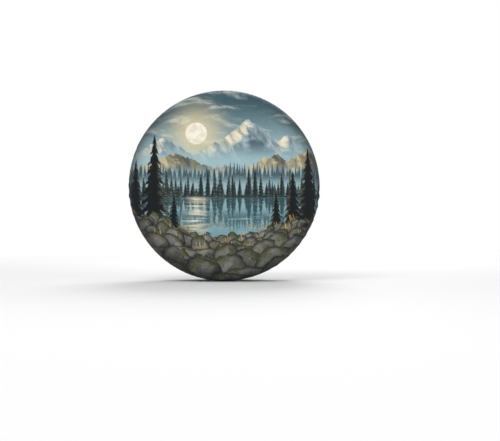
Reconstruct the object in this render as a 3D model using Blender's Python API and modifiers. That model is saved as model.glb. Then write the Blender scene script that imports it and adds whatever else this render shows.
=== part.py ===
"""Soft cover for a spare wheel: a printed round face, a side band in two halves and a
gathered rear skirt, whose hem is drawn in by an elastic cord with a spring cord lock.

Metres, +Z up. The wheel's axle is the Y axis: the printed face looks along -Y and the
open back along +Y. The origin is the centre of the tyre that the cover is pulled over.
"""

import math

import bmesh
import bpy
from mathutils import Vector

# Whole cover
COVER_DIAMETER = 0.820  # outside of the side band, over a 32 inch tyre
COVER_DEPTH = 0.272  # printed face to the flat of the rear skirt
CLOTH = 0.0012  # coated polyester
SEAM_GAP = 0.0003  # between pieces that are sewn together or rest on each other
RING_STEPS = 72  # facets round the cover
SHOULDER_STEP = math.radians(11)  # turn of a shoulder for each facet across it

# Front panel
FRONT_SHOULDER = 0.055  # radius of the roll from the face to the band
FACE_SEAM_ANGLE = math.radians(82)  # how far round that roll the band begins
FACE_RING_DIAMETER = 0.400  # ring of points that divides the flat of the face

# Side band
REAR_SHOULDER = 0.050  # radius of the roll from the band to the back
SKIRT_SEAM_ANGLE = math.radians(20)  # how far round that roll the skirt begins

# Rear skirt
HEM_INSET = 0.110  # outside of the band to the inner edge of the hem casing
FOLD_COUNT = 36  # gathers all the way round
FOLD_HEIGHT = 0.009  # valley to crest, where the gathers are highest
FOLD_HEIGHT_AT_HEM = 0.004
FOLD_POINTS = 4  # points across one gather
PLAIN_ARC = math.radians(9)  # half of the stretch at the bottom that has no gathers
PLAIN_FADE = math.radians(8)  # over which the gathers grow beside that stretch

# Hem casing
CASING_WIDTH = 0.014  # across, in the plane of the hem
CASING_THICKNESS = 0.010  # along the axle
CASING_SET_BACK = 0.002  # centre of the casing behind the flat of the skirt
CASING_MOUTH = 0.036  # opening at the bottom, where the cord comes out
CASING_STEPS = 58
CASING_SIDES = 8

# Bindings and tapes over the seams, inside the cover
BINDING_WIDTH = 0.010
BINDING_THICKNESS = 0.0020
TAPE_WIDTH = 0.016
TAPE_THICKNESS = 0.0010

# Draw cord
CORD_DIAMETER = 0.004
CORD_PITCH = 0.0056  # between the two tails, side by side
CORD_BEND = 0.025  # height of the bend from the casing mouth to the straight tails
CORD_BEND_POINTS = 7
CORD_CLEARANCE = 0.0003

# Patch under the cord lock
PATCH_WIDTH = 0.084
PATCH_HEIGHT = 0.038
PATCH_CORNER = 0.006
PATCH_INSET = 0.003  # from the hem edge of the skirt

# Cord lock
LOCK_DROP = 0.008  # top of the straight tails to the centre of the lock
LOCK_DIAMETER = 0.013
LOCK_WALL = 0.0015
LOCK_END = 0.0018  # closed end of the barrel
LOCK_LIP = 0.0014  # barrel past the slot of the plunger
LOCK_EDGE = 0.0010  # rounding of the barrel's rims
LOCK_CLEARANCE = 0.0003  # plunger in the barrel, and cord in the slots
LOCK_STEPS = 24
LOCK_TRAVEL = 0.028  # down the tails
PLUNGER_TRAVEL = 0.0035
PLUNGER_FLOOR = 0.0025  # between the cord slot and the spring
BUTTON_PROUD = 0.0020  # left outside the barrel when the plunger is pressed
BUTTON_DOME = 0.0012
SPRING_LENGTH = 0.006
SPRING_WIRE = 0.0005
SPRING_TURNS = 4
SPRING_SIDE_GAP = 0.0006  # outside of the coil to the bore
SPRING_TURN_POINTS = 8

# Clip on the ends of the tails
CLIP_MARGIN = 0.0022  # wall outside the cords
CLIP_LENGTH = 0.014
CLIP_THICKNESS = 0.0085
CLIP_DEPTH = 0.010  # of the sockets for the cord ends
CLIP_EDGE = 0.0018

# Drain eyelets in the lowest part of the band
EYELET_BORE = 0.008
EYELET_WALL = 0.0006
EYELET_FLANGE = 0.018
EYELET_FLANGE_THICKNESS = 0.0009
EYELET_LIP = 0.0125
EYELET_LIP_THICKNESS = 0.0006
EYELET_STEPS = 16
WASHER_DIAMETER = 0.016
WASHER_THICKNESS = 0.0008

# Values worked out from the sizes above. Local heights run along the axle, with the
# printed face at the top, and angles run round the axle from +X towards the top edge.
RADIUS = COVER_DIAMETER / 2
FACE_HEIGHT = COVER_DEPTH / 2
BACK_HEIGHT = -COVER_DEPTH / 2
BOTTOM = -math.pi / 2
FRONT_CENTRE = (RADIUS - FRONT_SHOULDER, FACE_HEIGHT - FRONT_SHOULDER)
REAR_CENTRE = (RADIUS - REAR_SHOULDER, BACK_HEIGHT + REAR_SHOULDER)
FACE_SEAM = math.pi / 2 - FACE_SEAM_ANGLE  # section angle of the seam, from the radius
CASING_RADIUS = RADIUS - HEM_INSET + CASING_WIDTH / 2
CASING_HEIGHT = BACK_HEIGHT - CASING_SET_BACK
HEM_RADIUS = CASING_RADIUS + CASING_WIDTH / 2 + SEAM_GAP
CORD_RADIUS = CORD_DIAMETER / 2
CORD_RING_RADIUS = (
    CASING_RADIUS - CASING_WIDTH / 2 + CLOTH + CORD_CLEARANCE + CORD_RADIUS
)
CASING_HALF_MOUTH = math.asin(CASING_MOUTH / 2 / CORD_RING_RADIUS)
LOCK_RADIUS = LOCK_DIAMETER / 2
PATCH_HEIGHT_AT_BACK = BACK_HEIGHT - SEAM_GAP - CLOTH
LOCK_HEIGHT = PATCH_HEIGHT_AT_BACK - SEAM_GAP - LOCK_RADIUS
TAIL_TOP = -CORD_RING_RADIUS - CORD_BEND
LOCK_CENTRE = TAIL_TOP - LOCK_DROP
CLIP_TOP = LOCK_CENTRE - LOCK_RADIUS - LOCK_TRAVEL - LOCK_CLEARANCE
BAND_INSIDE = RADIUS - CLOTH

MERGE = 1e-5


def clear_scene():
    for obj in list(bpy.data.objects):
        bpy.data.objects.remove(obj, do_unlink=True)


def add_collection(name):
    collection = bpy.data.collections.new(name)
    bpy.context.scene.collection.children.link(collection)
    return collection


def make_material(name, colour, roughness, metallic=0.0):
    material = bpy.data.materials.new(name)
    material.use_nodes = True
    shader = material.node_tree.nodes["Principled BSDF"]
    shader.inputs["Base Color"].default_value = (*colour, 1.0)
    shader.inputs["Roughness"].default_value = roughness
    shader.inputs["Metallic"].default_value = metallic
    return material


clear_scene()
PARTS = add_collection("spare_wheel_cover")
CUTTERS = add_collection("cutters")

# The frame turns a model that lies on its back, printed face up, to stand as it is used.
FRAME = bpy.data.objects.new("cover_frame", None)
FRAME.rotation_euler = (math.pi / 2, 0.0, 0.0)
PARTS.objects.link(FRAME)

PRINTED_CLOTH = make_material("printed_polyester", (0.17, 0.24, 0.26), 0.62)
BLACK_CLOTH = make_material("black_polyester", (0.022, 0.023, 0.025), 0.72)
TAPE_CLOTH = make_material("binding_tape", (0.035, 0.036, 0.038), 0.80)
ELASTIC = make_material("elastic_cord", (0.028, 0.028, 0.030), 0.68)
PLASTIC = make_material("black_plastic", (0.030, 0.031, 0.033), 0.42)
SPRING_STEEL = make_material("spring_steel", (0.55, 0.55, 0.56), 0.30, 1.0)
NICKEL = make_material("nickel_plate", (0.66, 0.64, 0.60), 0.26, 1.0)


def add_part(name, data, material, parent=FRAME):
    obj = bpy.data.objects.new(name, data)
    data.materials.append(material)
    obj.parent = parent
    PARTS.objects.link(obj)
    return obj


def add_cutter(name, data, parent):
    obj = bpy.data.objects.new(name, data)
    obj.parent = parent
    obj.hide_render = True
    obj.display_type = "WIRE"
    CUTTERS.objects.link(obj)
    return obj


def cut(obj, cutter):
    boolean = obj.modifiers.new("cut_" + cutter.name, "BOOLEAN")
    boolean.operation = "DIFFERENCE"
    boolean.object = cutter


def profile_mesh(name, points, closed):
    """Points (radius, height) in the XZ plane, joined by edges."""
    mesh = bpy.data.meshes.new(name)
    edges = [(i, i + 1) for i in range(len(points) - 1)]
    if closed:
        edges.append((len(points) - 1, 0))
    mesh.from_pydata([(r, 0.0, h) for r, h in points], edges, [])
    return mesh


def turn(obj, steps, angle=math.tau):
    screw = obj.modifiers.new("turn", "SCREW")
    screw.axis = "Z"
    screw.angle = angle
    screw.steps = steps
    screw.render_steps = steps
    screw.use_merge_vertices = True
    screw.merge_threshold = MERGE


def thicken(obj, thickness):
    """Adds the cloth's thickness on the inner side of an open surface."""
    solidify = obj.modifiers.new("cloth", "SOLIDIFY")
    solidify.thickness = thickness
    solidify.offset = -1.0


def bmesh_to_mesh(bm, name):
    mesh = bpy.data.meshes.new(name)
    bm.to_mesh(mesh)
    bm.free()
    return mesh


def cylinder_mesh(name, radius, length, steps):
    bm = bmesh.new()
    bmesh.ops.create_cone(
        bm, cap_ends=True, segments=steps, radius1=radius, radius2=radius, depth=length
    )
    return bmesh_to_mesh(bm, name)


def box_mesh(name, size):
    bm = bmesh.new()
    bmesh.ops.create_cube(bm, size=1.0)
    bmesh.ops.scale(bm, vec=Vector(size), verts=bm.verts)
    return bmesh_to_mesh(bm, name)


def round_edges(obj, width, segments=2):
    bevel = obj.modifiers.new("rounding", "BEVEL")
    bevel.width = width
    bevel.segments = segments
    bevel.limit_method = "ANGLE"


def between(start, end, share):
    return start + (end - start) * share


def smooth_step(share):
    share = min(max(share, 0.0), 1.0)
    return share * share * (3.0 - 2.0 * share)


def arc_points(centre, radius, start, end):
    """Section points round a shoulder; angles run from the radius towards the face."""
    steps = max(1, round(abs(end - start) / SHOULDER_STEP))
    points = []
    for i in range(steps + 1):
        angle = between(start, end, i / steps)
        points.append(
            (centre[0] + radius * math.cos(angle), centre[1] + radius * math.sin(angle))
        )
    return points


def front_arc(start, end, inside=0.0):
    return arc_points(FRONT_CENTRE, FRONT_SHOULDER - inside, start, end)


def rear_arc(start, end):
    return arc_points(REAR_CENTRE, REAR_SHOULDER, start, end)


def make_front_panel():
    """Printed disc, flat in the middle and rolled over the front shoulder."""
    seam = FACE_SEAM + SEAM_GAP / 2 / FRONT_SHOULDER
    ring = FACE_RING_DIAMETER / 2
    outside = [(0.0, FACE_HEIGHT), (ring, FACE_HEIGHT)]
    outside += front_arc(math.pi / 2, seam)
    inside = front_arc(seam, math.pi / 2, CLOTH)
    inside += [(ring, FACE_HEIGHT - CLOTH), (0.0, FACE_HEIGHT - CLOTH)]
    mesh = profile_mesh("front_panel", outside + inside, False)
    turn(add_part("front_panel", mesh, PRINTED_CLOTH), RING_STEPS)


def eyelet_angle(side):
    """Middle of the second facet beside the bottom seam."""
    return BOTTOM + side * 1.5 * math.tau / RING_STEPS


def eyelet_place(obj, side):
    """Stands obj on the outside of its facet of the band, with local Z outwards."""
    angle = eyelet_angle(side)
    outside = RADIUS * math.cos(math.pi / RING_STEPS)
    obj.location = (outside * math.cos(angle), outside * math.sin(angle), 0.0)
    obj.rotation_euler = (0.0, math.pi / 2, angle)


def make_side_band(name, side):
    """Half of the band, from the face seam to the skirt seam, with its eyelet hole."""
    front = FACE_SEAM - SEAM_GAP / 2 / FRONT_SHOULDER
    rear = -SKIRT_SEAM_ANGLE + SEAM_GAP / 2 / REAR_SHOULDER
    profile = front_arc(front, 0.0) + rear_arc(0.0, rear)
    gap_angle = SEAM_GAP / RADIUS
    band = add_part(name, profile_mesh(name, profile, False), BLACK_CLOTH)
    start = BOTTOM if side > 0 else -BOTTOM
    band.rotation_euler.z = start + gap_angle / 2
    turn(band, RING_STEPS // 2, math.pi - gap_angle)
    thicken(band, CLOTH)
    hole_radius = EYELET_BORE / 2 + EYELET_WALL + SEAM_GAP
    hole = cylinder_mesh(name + "_hole", hole_radius, 20 * CLOTH, EYELET_STEPS)
    cutter = add_cutter(name + "_hole", hole, FRAME)
    eyelet_place(cutter, side)
    cut(band, cutter)


def skirt_profile():
    """Section points from the skirt seam to the hem, and the fold height at each."""
    seam = -SKIRT_SEAM_ANGLE - SEAM_GAP / 2 / REAR_SHOULDER
    points = []
    for share in (0.0, 0.08, 0.36, 0.68, 1.0):
        angle = between(seam, -math.pi / 2, share)
        point = rear_arc(angle, angle)[0]
        points.append((point, Vector((math.cos(angle), math.sin(angle))), share))
    flat_start = points[-1][0][0]
    middle = ((flat_start + HEM_RADIUS) / 2, BACK_HEIGHT)
    back = Vector((0.0, -1.0))
    rows = [(p, n, FOLD_HEIGHT * smooth_step(share * 0.8)) for p, n, share in points]
    rows.append((middle, back, FOLD_HEIGHT))
    rows.append(((HEM_RADIUS, BACK_HEIGHT), back, FOLD_HEIGHT_AT_HEM))
    return rows


def fold_share(angle):
    """0 in a valley and 1 on a crest; none near the bottom, where the cord comes out."""
    off_bottom = abs(math.remainder(angle - BOTTOM, math.tau))
    grown = smooth_step((off_bottom - PLAIN_ARC) / PLAIN_FADE)
    return grown * (0.5 - 0.5 * math.cos(FOLD_COUNT * (angle - BOTTOM)))


def make_rear_skirt(name, side):
    """Half of the gathered ring behind the tyre, from the skirt seam to the hem."""
    rows = skirt_profile()
    across = FOLD_COUNT * FOLD_POINTS // 2
    start = BOTTOM if side > 0 else -BOTTOM
    half_gap = SEAM_GAP / 2 / HEM_RADIUS
    bm = bmesh.new()
    bmesh.ops.create_grid(
        bm, x_segments=across, y_segments=len(rows) - 1, size=0.5
    )
    for vertex in bm.verts:
        share = vertex.co.x + 0.5
        (radius, height), normal, fold = rows[round((0.5 - vertex.co.y) * (len(rows) - 1))]
        angle = between(start + half_gap, start + math.pi - half_gap, share)
        lift = fold * fold_share(start + math.pi * share)
        radius += lift * normal.x
        vertex.co.x = radius * math.cos(angle)
        vertex.co.y = radius * math.sin(angle)
        vertex.co.z = height + lift * normal.y
    skirt = add_part(name, bmesh_to_mesh(bm, name), BLACK_CLOTH)
    thicken(skirt, CLOTH)


def make_binding(name, low, high):
    """Ring of folded tape against the inside of the band, between two heights."""
    outer = BAND_INSIDE - SEAM_GAP
    inner = outer - BINDING_THICKNESS
    profile = [(outer, high), (outer, low), (inner, low), (inner, high)]
    turn(add_part(name, profile_mesh(name, profile, True), TAPE_CLOTH), RING_STEPS)


def binding_heights():
    """(low, high) of the face binding and of the skirt binding, on the straight band."""
    face = (FRONT_CENTRE[1] - BINDING_WIDTH, FRONT_CENTRE[1])
    skirt = (REAR_CENTRE[1], REAR_CENTRE[1] + BINDING_WIDTH)
    return face, skirt


def make_seam_tape(name, angle):
    """Strip inside the band over the butt seam between its halves."""
    face, skirt = binding_heights()
    low, high = skirt[1] + SEAM_GAP, face[0] - SEAM_GAP
    facet_drop = TAPE_WIDTH / 2 * math.tan(math.pi / RING_STEPS)
    outer = BAND_INSIDE - facet_drop - SEAM_GAP
    tape = add_part(
        name,
        box_mesh(name, (TAPE_THICKNESS, TAPE_WIDTH, high - low)),
        TAPE_CLOTH,
    )
    middle = outer - TAPE_THICKNESS / 2
    tape.location = (
        middle * math.cos(angle),
        middle * math.sin(angle),
        (low + high) / 2,
    )
    tape.rotation_euler.z = angle


def casing_angle(step):
    """Angle of one of the casing's sections, from one side of its mouth to the other."""
    first = BOTTOM + CASING_HALF_MOUTH
    return between(first, first + math.tau - 2 * CASING_HALF_MOUTH, step / CASING_STEPS)


def make_hem_casing():
    """Tunnel of cloth round the hem, open at its two ends beside the mouth."""
    profile = []
    across_flats = 1.0 / math.cos(math.pi / CASING_SIDES)
    for i in range(CASING_SIDES):
        angle = math.pi / 2 - math.tau * (i + 0.5) / CASING_SIDES
        profile.append(
            (
                CASING_RADIUS + CASING_WIDTH / 2 * across_flats * math.cos(angle),
                CASING_HEIGHT + CASING_THICKNESS / 2 * across_flats * math.sin(angle),
            )
        )
    mesh = profile_mesh("hem_casing", profile, True)
    casing = add_part("hem_casing", mesh, BLACK_CLOTH)
    casing.rotation_euler.z = casing_angle(0)
    turn(casing, CASING_STEPS, math.tau - 2 * CASING_HALF_MOUTH)
    thicken(casing, CLOTH)


def cord_tail(side):
    """Points from the casing mouth, round the bend and down to the clip."""
    mouth = Vector(
        (side * CASING_MOUTH / 2, -CORD_RING_RADIUS * math.cos(CASING_HALF_MOUTH))
    )
    straight = Vector((side * CORD_PITCH / 2, TAIL_TOP))
    points = []
    for i in range(1, CORD_BEND_POINTS + 1):
        share = i / CORD_BEND_POINTS
        turned = share * math.pi / 2
        points.append(
            Vector(
                (
                    between(straight.x, mouth.x, 1.0 - math.sin(turned)),
                    between(mouth.y, straight.y, 1.0 - math.cos(turned)),
                    between(CASING_HEIGHT, LOCK_HEIGHT, smooth_step(share)),
                )
            )
        )
    end = CLIP_TOP - CLIP_DEPTH + SEAM_GAP
    tail_points = 5
    for i in range(1, tail_points + 1):
        height = between(TAIL_TOP, end, i / tail_points)
        points.append(Vector((straight.x, height, LOCK_HEIGHT)))
    return points


def make_draw_cord():
    """One elastic cord: up one tail, round the casing and down the other tail."""
    ring = []
    for step in range(CASING_STEPS + 1):
        angle = casing_angle(step)
        ring.append(
            Vector(
                (
                    CORD_RING_RADIUS * math.cos(angle),
                    CORD_RING_RADIUS * math.sin(angle),
                    CASING_HEIGHT,
                )
            )
        )
    route = cord_tail(1)[::-1] + ring + cord_tail(-1)
    add_wire("draw_cord", route, CORD_RADIUS, 2, ELASTIC, FRAME)


def add_wire(name, route, radius, resolution, material, parent):
    curve = bpy.data.curves.new(name, "CURVE")
    curve.dimensions = "3D"
    curve.bevel_depth = radius
    curve.bevel_resolution = resolution
    curve.use_fill_caps = True
    spline = curve.splines.new("POLY")
    spline.points.add(len(route) - 1)
    for point, place in zip(spline.points, route):
        point.co = (*place, 1.0)
    return add_part(name, curve, material, parent)


def make_cord_exit_patch():
    """Cloth rectangle sewn to the back of the skirt, for the cord lock to lie on."""
    size = (PATCH_WIDTH, PATCH_HEIGHT, CLOTH)
    patch = add_part("cord_exit_patch", box_mesh("cord_exit_patch", size), BLACK_CLOTH)
    patch.location = (
        0.0,
        -(HEM_RADIUS + PATCH_INSET + PATCH_HEIGHT / 2),
        PATCH_HEIGHT_AT_BACK + CLOTH / 2,
    )
    corners = patch.modifiers.new("corners", "BEVEL")
    corners.width = PATCH_CORNER
    corners.segments = 3
    corners.limit_method = "WEIGHT"
    weights = patch.data.attributes.new("bevel_weight_edge", "FLOAT", "EDGE")
    for edge in patch.data.edges:
        ends = [patch.data.vertices[i].co for i in edge.vertices]
        upright = abs(ends[0].z - ends[1].z) > CLOTH / 2
        weights.data[edge.index].value = 1.0 if upright else 0.0


# Cord lock. Its own frame lies at the middle of the two cords: local Z runs along the
# barrel, from the closed end to the button, and the cords cross it along local Y.
PAIR_HALF = CORD_PITCH / 2 + CORD_RADIUS
BORE_RADIUS = LOCK_RADIUS - LOCK_WALL
PLUNGER_RADIUS = BORE_RADIUS - LOCK_CLEARANCE
SLOT_HEIGHT = CORD_DIAMETER + 2 * LOCK_CLEARANCE
SLOT_LOW = -PAIR_HALF - LOCK_CLEARANCE
SLOT_HIGH = PAIR_HALF + LOCK_CLEARANCE + PLUNGER_TRAVEL
PLUNGER_END = SLOT_LOW - PLUNGER_FLOOR
BARREL_FLOOR = PLUNGER_END - SPRING_LENGTH - 2 * SEAM_GAP
BARREL_BACK = BARREL_FLOOR - LOCK_END
BARREL_RIM = SLOT_HIGH + LOCK_LIP
BUTTON_TOP = BARREL_RIM + PLUNGER_TRAVEL + BUTTON_PROUD


def add_lock_frame():
    frame = bpy.data.objects.new("cord_lock_frame", None)
    frame.parent = FRAME
    frame.location = (0.0, LOCK_CENTRE, LOCK_HEIGHT)
    frame.rotation_euler = (0.0, math.pi / 2, 0.0)
    PARTS.objects.link(frame)
    return frame


def cut_slot(obj, low, high, frame):
    """Cuts a slot along local Y, between two places along the barrel."""
    size = (SLOT_HEIGHT, 2 * LOCK_DIAMETER, high - low)
    name = obj.name + "_slot"
    cutter = add_cutter(name, box_mesh(name, size), frame)
    cutter.location.z = (low + high) / 2
    cut(obj, cutter)


def make_cord_lock_barrel(frame):
    edge = LOCK_EDGE
    profile = [
        (BORE_RADIUS, BARREL_RIM),
        (LOCK_RADIUS - edge, BARREL_RIM),
        (LOCK_RADIUS, BARREL_RIM - edge),
        (LOCK_RADIUS, BARREL_BACK + edge),
        (LOCK_RADIUS - edge, BARREL_BACK),
        (0.0, BARREL_BACK),
    ]
    profile = [(0.0, BARREL_FLOOR), (BORE_RADIUS, BARREL_FLOOR)] + profile
    mesh = profile_mesh("cord_lock_barrel", profile, False)
    barrel = add_part("cord_lock_barrel", mesh, PLASTIC, frame)
    turn(barrel, LOCK_STEPS)
    half_slot = PAIR_HALF + 2 * LOCK_CLEARANCE
    cut_slot(barrel, -half_slot, half_slot, frame)


def make_cord_lock_plunger(frame):
    profile = [
        (0.0, BUTTON_TOP),
        (PLUNGER_RADIUS * 0.6, BUTTON_TOP - BUTTON_DOME * 0.2),
        (PLUNGER_RADIUS, BUTTON_TOP - BUTTON_DOME),
        (PLUNGER_RADIUS, PLUNGER_END),
        (0.0, PLUNGER_END),
    ]
    mesh = profile_mesh("cord_lock_plunger", profile, False)
    plunger = add_part("cord_lock_plunger", mesh, PLASTIC, frame)
    turn(plunger, LOCK_STEPS)
    cut_slot(plunger, SLOT_LOW, SLOT_HIGH, frame)


def make_cord_lock_spring(frame):
    """Coil between the barrel's floor and the plunger, with straight ends."""
    radius = BORE_RADIUS - SPRING_SIDE_GAP - SPRING_WIRE / 2
    low = BARREL_FLOOR + SEAM_GAP
    high = PLUNGER_END - SEAM_GAP
    count = SPRING_TURNS * SPRING_TURN_POINTS
    route = [Vector((radius, 0.0, low))]
    for i in range(count + 1):
        angle = math.tau * i / SPRING_TURN_POINTS
        height = between(low + SPRING_WIRE, high - SPRING_WIRE, i / count)
        route.append(
            Vector((radius * math.cos(angle), radius * math.sin(angle), height))
        )
    route.append(Vector((radius, 0.0, high)))
    add_wire("cord_lock_spring", route, SPRING_WIRE / 2, 1, SPRING_STEEL, frame)
    pairs = [
        (a - b).length
        for i, a in enumerate(route)
        for b in route[i + SPRING_TURN_POINTS // 2 :]
    ]
    print(f"least gap in cord_lock_spring: {(min(pairs) - SPRING_WIRE) * 1000:.2f} mm")


def make_cord_end_clip():
    """Moulded block that holds both ends of the cord in blind sockets."""
    size = (2 * (PAIR_HALF + CLIP_MARGIN), CLIP_LENGTH, CLIP_THICKNESS)
    clip = add_part("cord_end_clip", box_mesh("cord_end_clip", size), PLASTIC)
    clip.location = (0.0, CLIP_TOP - CLIP_LENGTH / 2, LOCK_HEIGHT)
    round_edges(clip, CLIP_EDGE)
    for side, name in ((-1, "cord_end_socket_left"), (1, "cord_end_socket_right")):
        socket = cylinder_mesh(name, CORD_RADIUS + CORD_CLEARANCE, 2 * CLIP_DEPTH, 12)
        cutter = add_cutter(name, socket, FRAME)
        cutter.location = (side * CORD_PITCH / 2, CLIP_TOP, LOCK_HEIGHT)
        cutter.rotation_euler.x = math.pi / 2
        cut(clip, cutter)


def make_drain_eyelet(name, side):
    """Spool-shaped eyelet through the band; heights run outwards from the cloth."""
    bore = EYELET_BORE / 2
    barrel = bore + EYELET_WALL
    flange = EYELET_FLANGE / 2
    lip = EYELET_LIP / 2
    top = SEAM_GAP + EYELET_FLANGE_THICKNESS
    lip_top = -(CLOTH + SEAM_GAP + WASHER_THICKNESS + SEAM_GAP)
    lip_low = lip_top - EYELET_LIP_THICKNESS
    profile = [
        (bore + EYELET_WALL / 2, top),
        (flange - EYELET_FLANGE_THICKNESS, top),
        (flange, SEAM_GAP),
        (barrel, SEAM_GAP),
        (barrel, lip_top),
        (lip, lip_top),
        (lip - EYELET_LIP_THICKNESS, lip_low),
        (bore + EYELET_WALL / 2, lip_low),
        (bore, lip_low + EYELET_WALL),
        (bore, top - EYELET_WALL),
    ]
    eyelet = add_part(name, profile_mesh(name, profile, True), NICKEL)
    turn(eyelet, EYELET_STEPS)
    eyelet_place(eyelet, side)


def make_drain_washer(name, side):
    """Flat ring between the inside of the band and the eyelet's rolled lip."""
    outer = WASHER_DIAMETER / 2
    inner = EYELET_BORE / 2 + EYELET_WALL + SEAM_GAP
    high = -(CLOTH + SEAM_GAP)
    low = high - WASHER_THICKNESS
    profile = [(outer, high), (outer, low), (inner, low), (inner, high)]
    washer = add_part(name, profile_mesh(name, profile, True), NICKEL)
    turn(washer, EYELET_STEPS)
    eyelet_place(washer, side)


def make_cover():
    make_front_panel()
    for word, side in (("left", -1), ("right", 1)):
        make_side_band("side_band_" + word, side)
        make_rear_skirt("rear_skirt_" + word, side)
        make_drain_eyelet("drain_eyelet_" + word, side)
        make_drain_washer("drain_washer_" + word, side)
    face, skirt = binding_heights()
    make_binding("face_seam_binding", *face)
    make_binding("skirt_seam_binding", *skirt)
    make_seam_tape("top_seam_tape", -BOTTOM)
    make_seam_tape("bottom_seam_tape", BOTTOM)
    make_hem_casing()
    make_draw_cord()
    make_cord_exit_patch()
    lock_frame = add_lock_frame()
    make_cord_lock_barrel(lock_frame)
    make_cord_lock_plunger(lock_frame)
    make_cord_lock_spring(lock_frame)
    make_cord_end_clip()


make_cover()
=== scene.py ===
import math

import bmesh
import bpy
import numpy as np
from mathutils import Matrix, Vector


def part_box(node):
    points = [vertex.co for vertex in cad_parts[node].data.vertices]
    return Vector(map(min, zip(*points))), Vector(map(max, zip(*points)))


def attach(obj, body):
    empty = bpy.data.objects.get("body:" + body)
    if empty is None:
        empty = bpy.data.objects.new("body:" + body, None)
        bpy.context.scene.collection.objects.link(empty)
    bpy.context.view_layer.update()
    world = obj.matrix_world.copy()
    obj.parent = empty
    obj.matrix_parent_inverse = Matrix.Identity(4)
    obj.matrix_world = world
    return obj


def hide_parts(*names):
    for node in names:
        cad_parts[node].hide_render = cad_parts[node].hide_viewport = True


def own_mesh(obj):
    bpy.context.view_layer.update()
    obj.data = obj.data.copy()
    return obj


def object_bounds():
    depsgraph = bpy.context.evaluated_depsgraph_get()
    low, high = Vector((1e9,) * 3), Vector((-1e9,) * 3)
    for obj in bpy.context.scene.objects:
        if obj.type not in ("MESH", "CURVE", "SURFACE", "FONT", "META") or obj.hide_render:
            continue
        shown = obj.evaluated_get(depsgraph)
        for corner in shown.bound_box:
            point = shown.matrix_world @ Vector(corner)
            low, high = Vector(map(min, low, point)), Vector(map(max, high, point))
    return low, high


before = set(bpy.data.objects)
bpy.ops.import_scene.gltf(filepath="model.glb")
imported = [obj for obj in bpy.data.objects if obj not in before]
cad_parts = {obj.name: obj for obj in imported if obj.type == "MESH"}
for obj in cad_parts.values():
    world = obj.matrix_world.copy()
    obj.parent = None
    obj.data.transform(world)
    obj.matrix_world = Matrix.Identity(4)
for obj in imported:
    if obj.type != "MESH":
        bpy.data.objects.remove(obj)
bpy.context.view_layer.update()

# Section of the cover, read from the frame. Lengths run over the outside, from the
# middle of the face, round the band and in to the hem.
frontShoulder = 0.055  # radius of the roll from the face to the band
rearShoulder = 0.050  # and of the one from the band to the back
restGap = 0.0003  # between solids that rest on each other
bottom = -math.pi / 2  # angle of the lowest point; the top is opposite
faceLow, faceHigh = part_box("front_panel")
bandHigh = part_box("side_band_right")[1]
patchLow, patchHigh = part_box("cord_exit_patch")
casingLow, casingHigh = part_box("hem_casing")
coverRadius = bandHigh.x
faceY = faceLow.y
backY = patchLow.y - restGap
hemRadius = (casingHigh.x - casingLow.x) / 2 + restGap
flatRadius = coverRadius - frontShoulder
returnRadius = coverRadius - rearShoulder
faceSeam = math.acos(1 - (faceHigh.y - faceY) / frontShoulder)  # where the band begins on the roll
skirtSeam = math.asin(1 - (backY - bandHigh.y) / rearShoulder)  # and the skirt
bandStart = flatRadius + frontShoulder * math.pi / 2
bandDepth = backY - faceY - frontShoulder - rearShoulder
bandEnd = bandStart + bandDepth
returnStart = bandEnd + rearShoulder * math.pi / 2
faceSeamAt = flatRadius + frontShoulder * faceSeam
skirtSeamAt = bandEnd + rearShoulder * skirtSeam
hemAt = returnStart + returnRadius - hemRadius
print("section: seams at", round(math.degrees(faceSeam), 2), "and",
      round(math.degrees(skirtSeam), 2), "degrees, hem at", round(hemAt, 4), "m")


def sectionPoint(length):
    # radius, y and outward normal of the section, at lengths over the outside
    length = np.asarray(length, float)
    front = np.clip((length - flatRadius) / frontShoulder, 0, math.pi / 2)
    rear = np.clip((length - bandEnd) / rearShoulder, 0, math.pi / 2)
    turned = front + rear  # 0 on the face, quarter turn on the band, half turn at the back
    straight = np.clip(length - bandStart, 0, bandDepth)
    inward = np.maximum(length - returnStart, 0)
    r = np.minimum(length, flatRadius) + frontShoulder * np.sin(front)
    r = r - rearShoulder * (1 - np.cos(rear)) - inward
    y = faceY + frontShoulder * (1 - np.cos(front)) + straight + rearShoulder * np.sin(rear)
    return r, y, np.sin(turned), -np.cos(turned)


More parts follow.
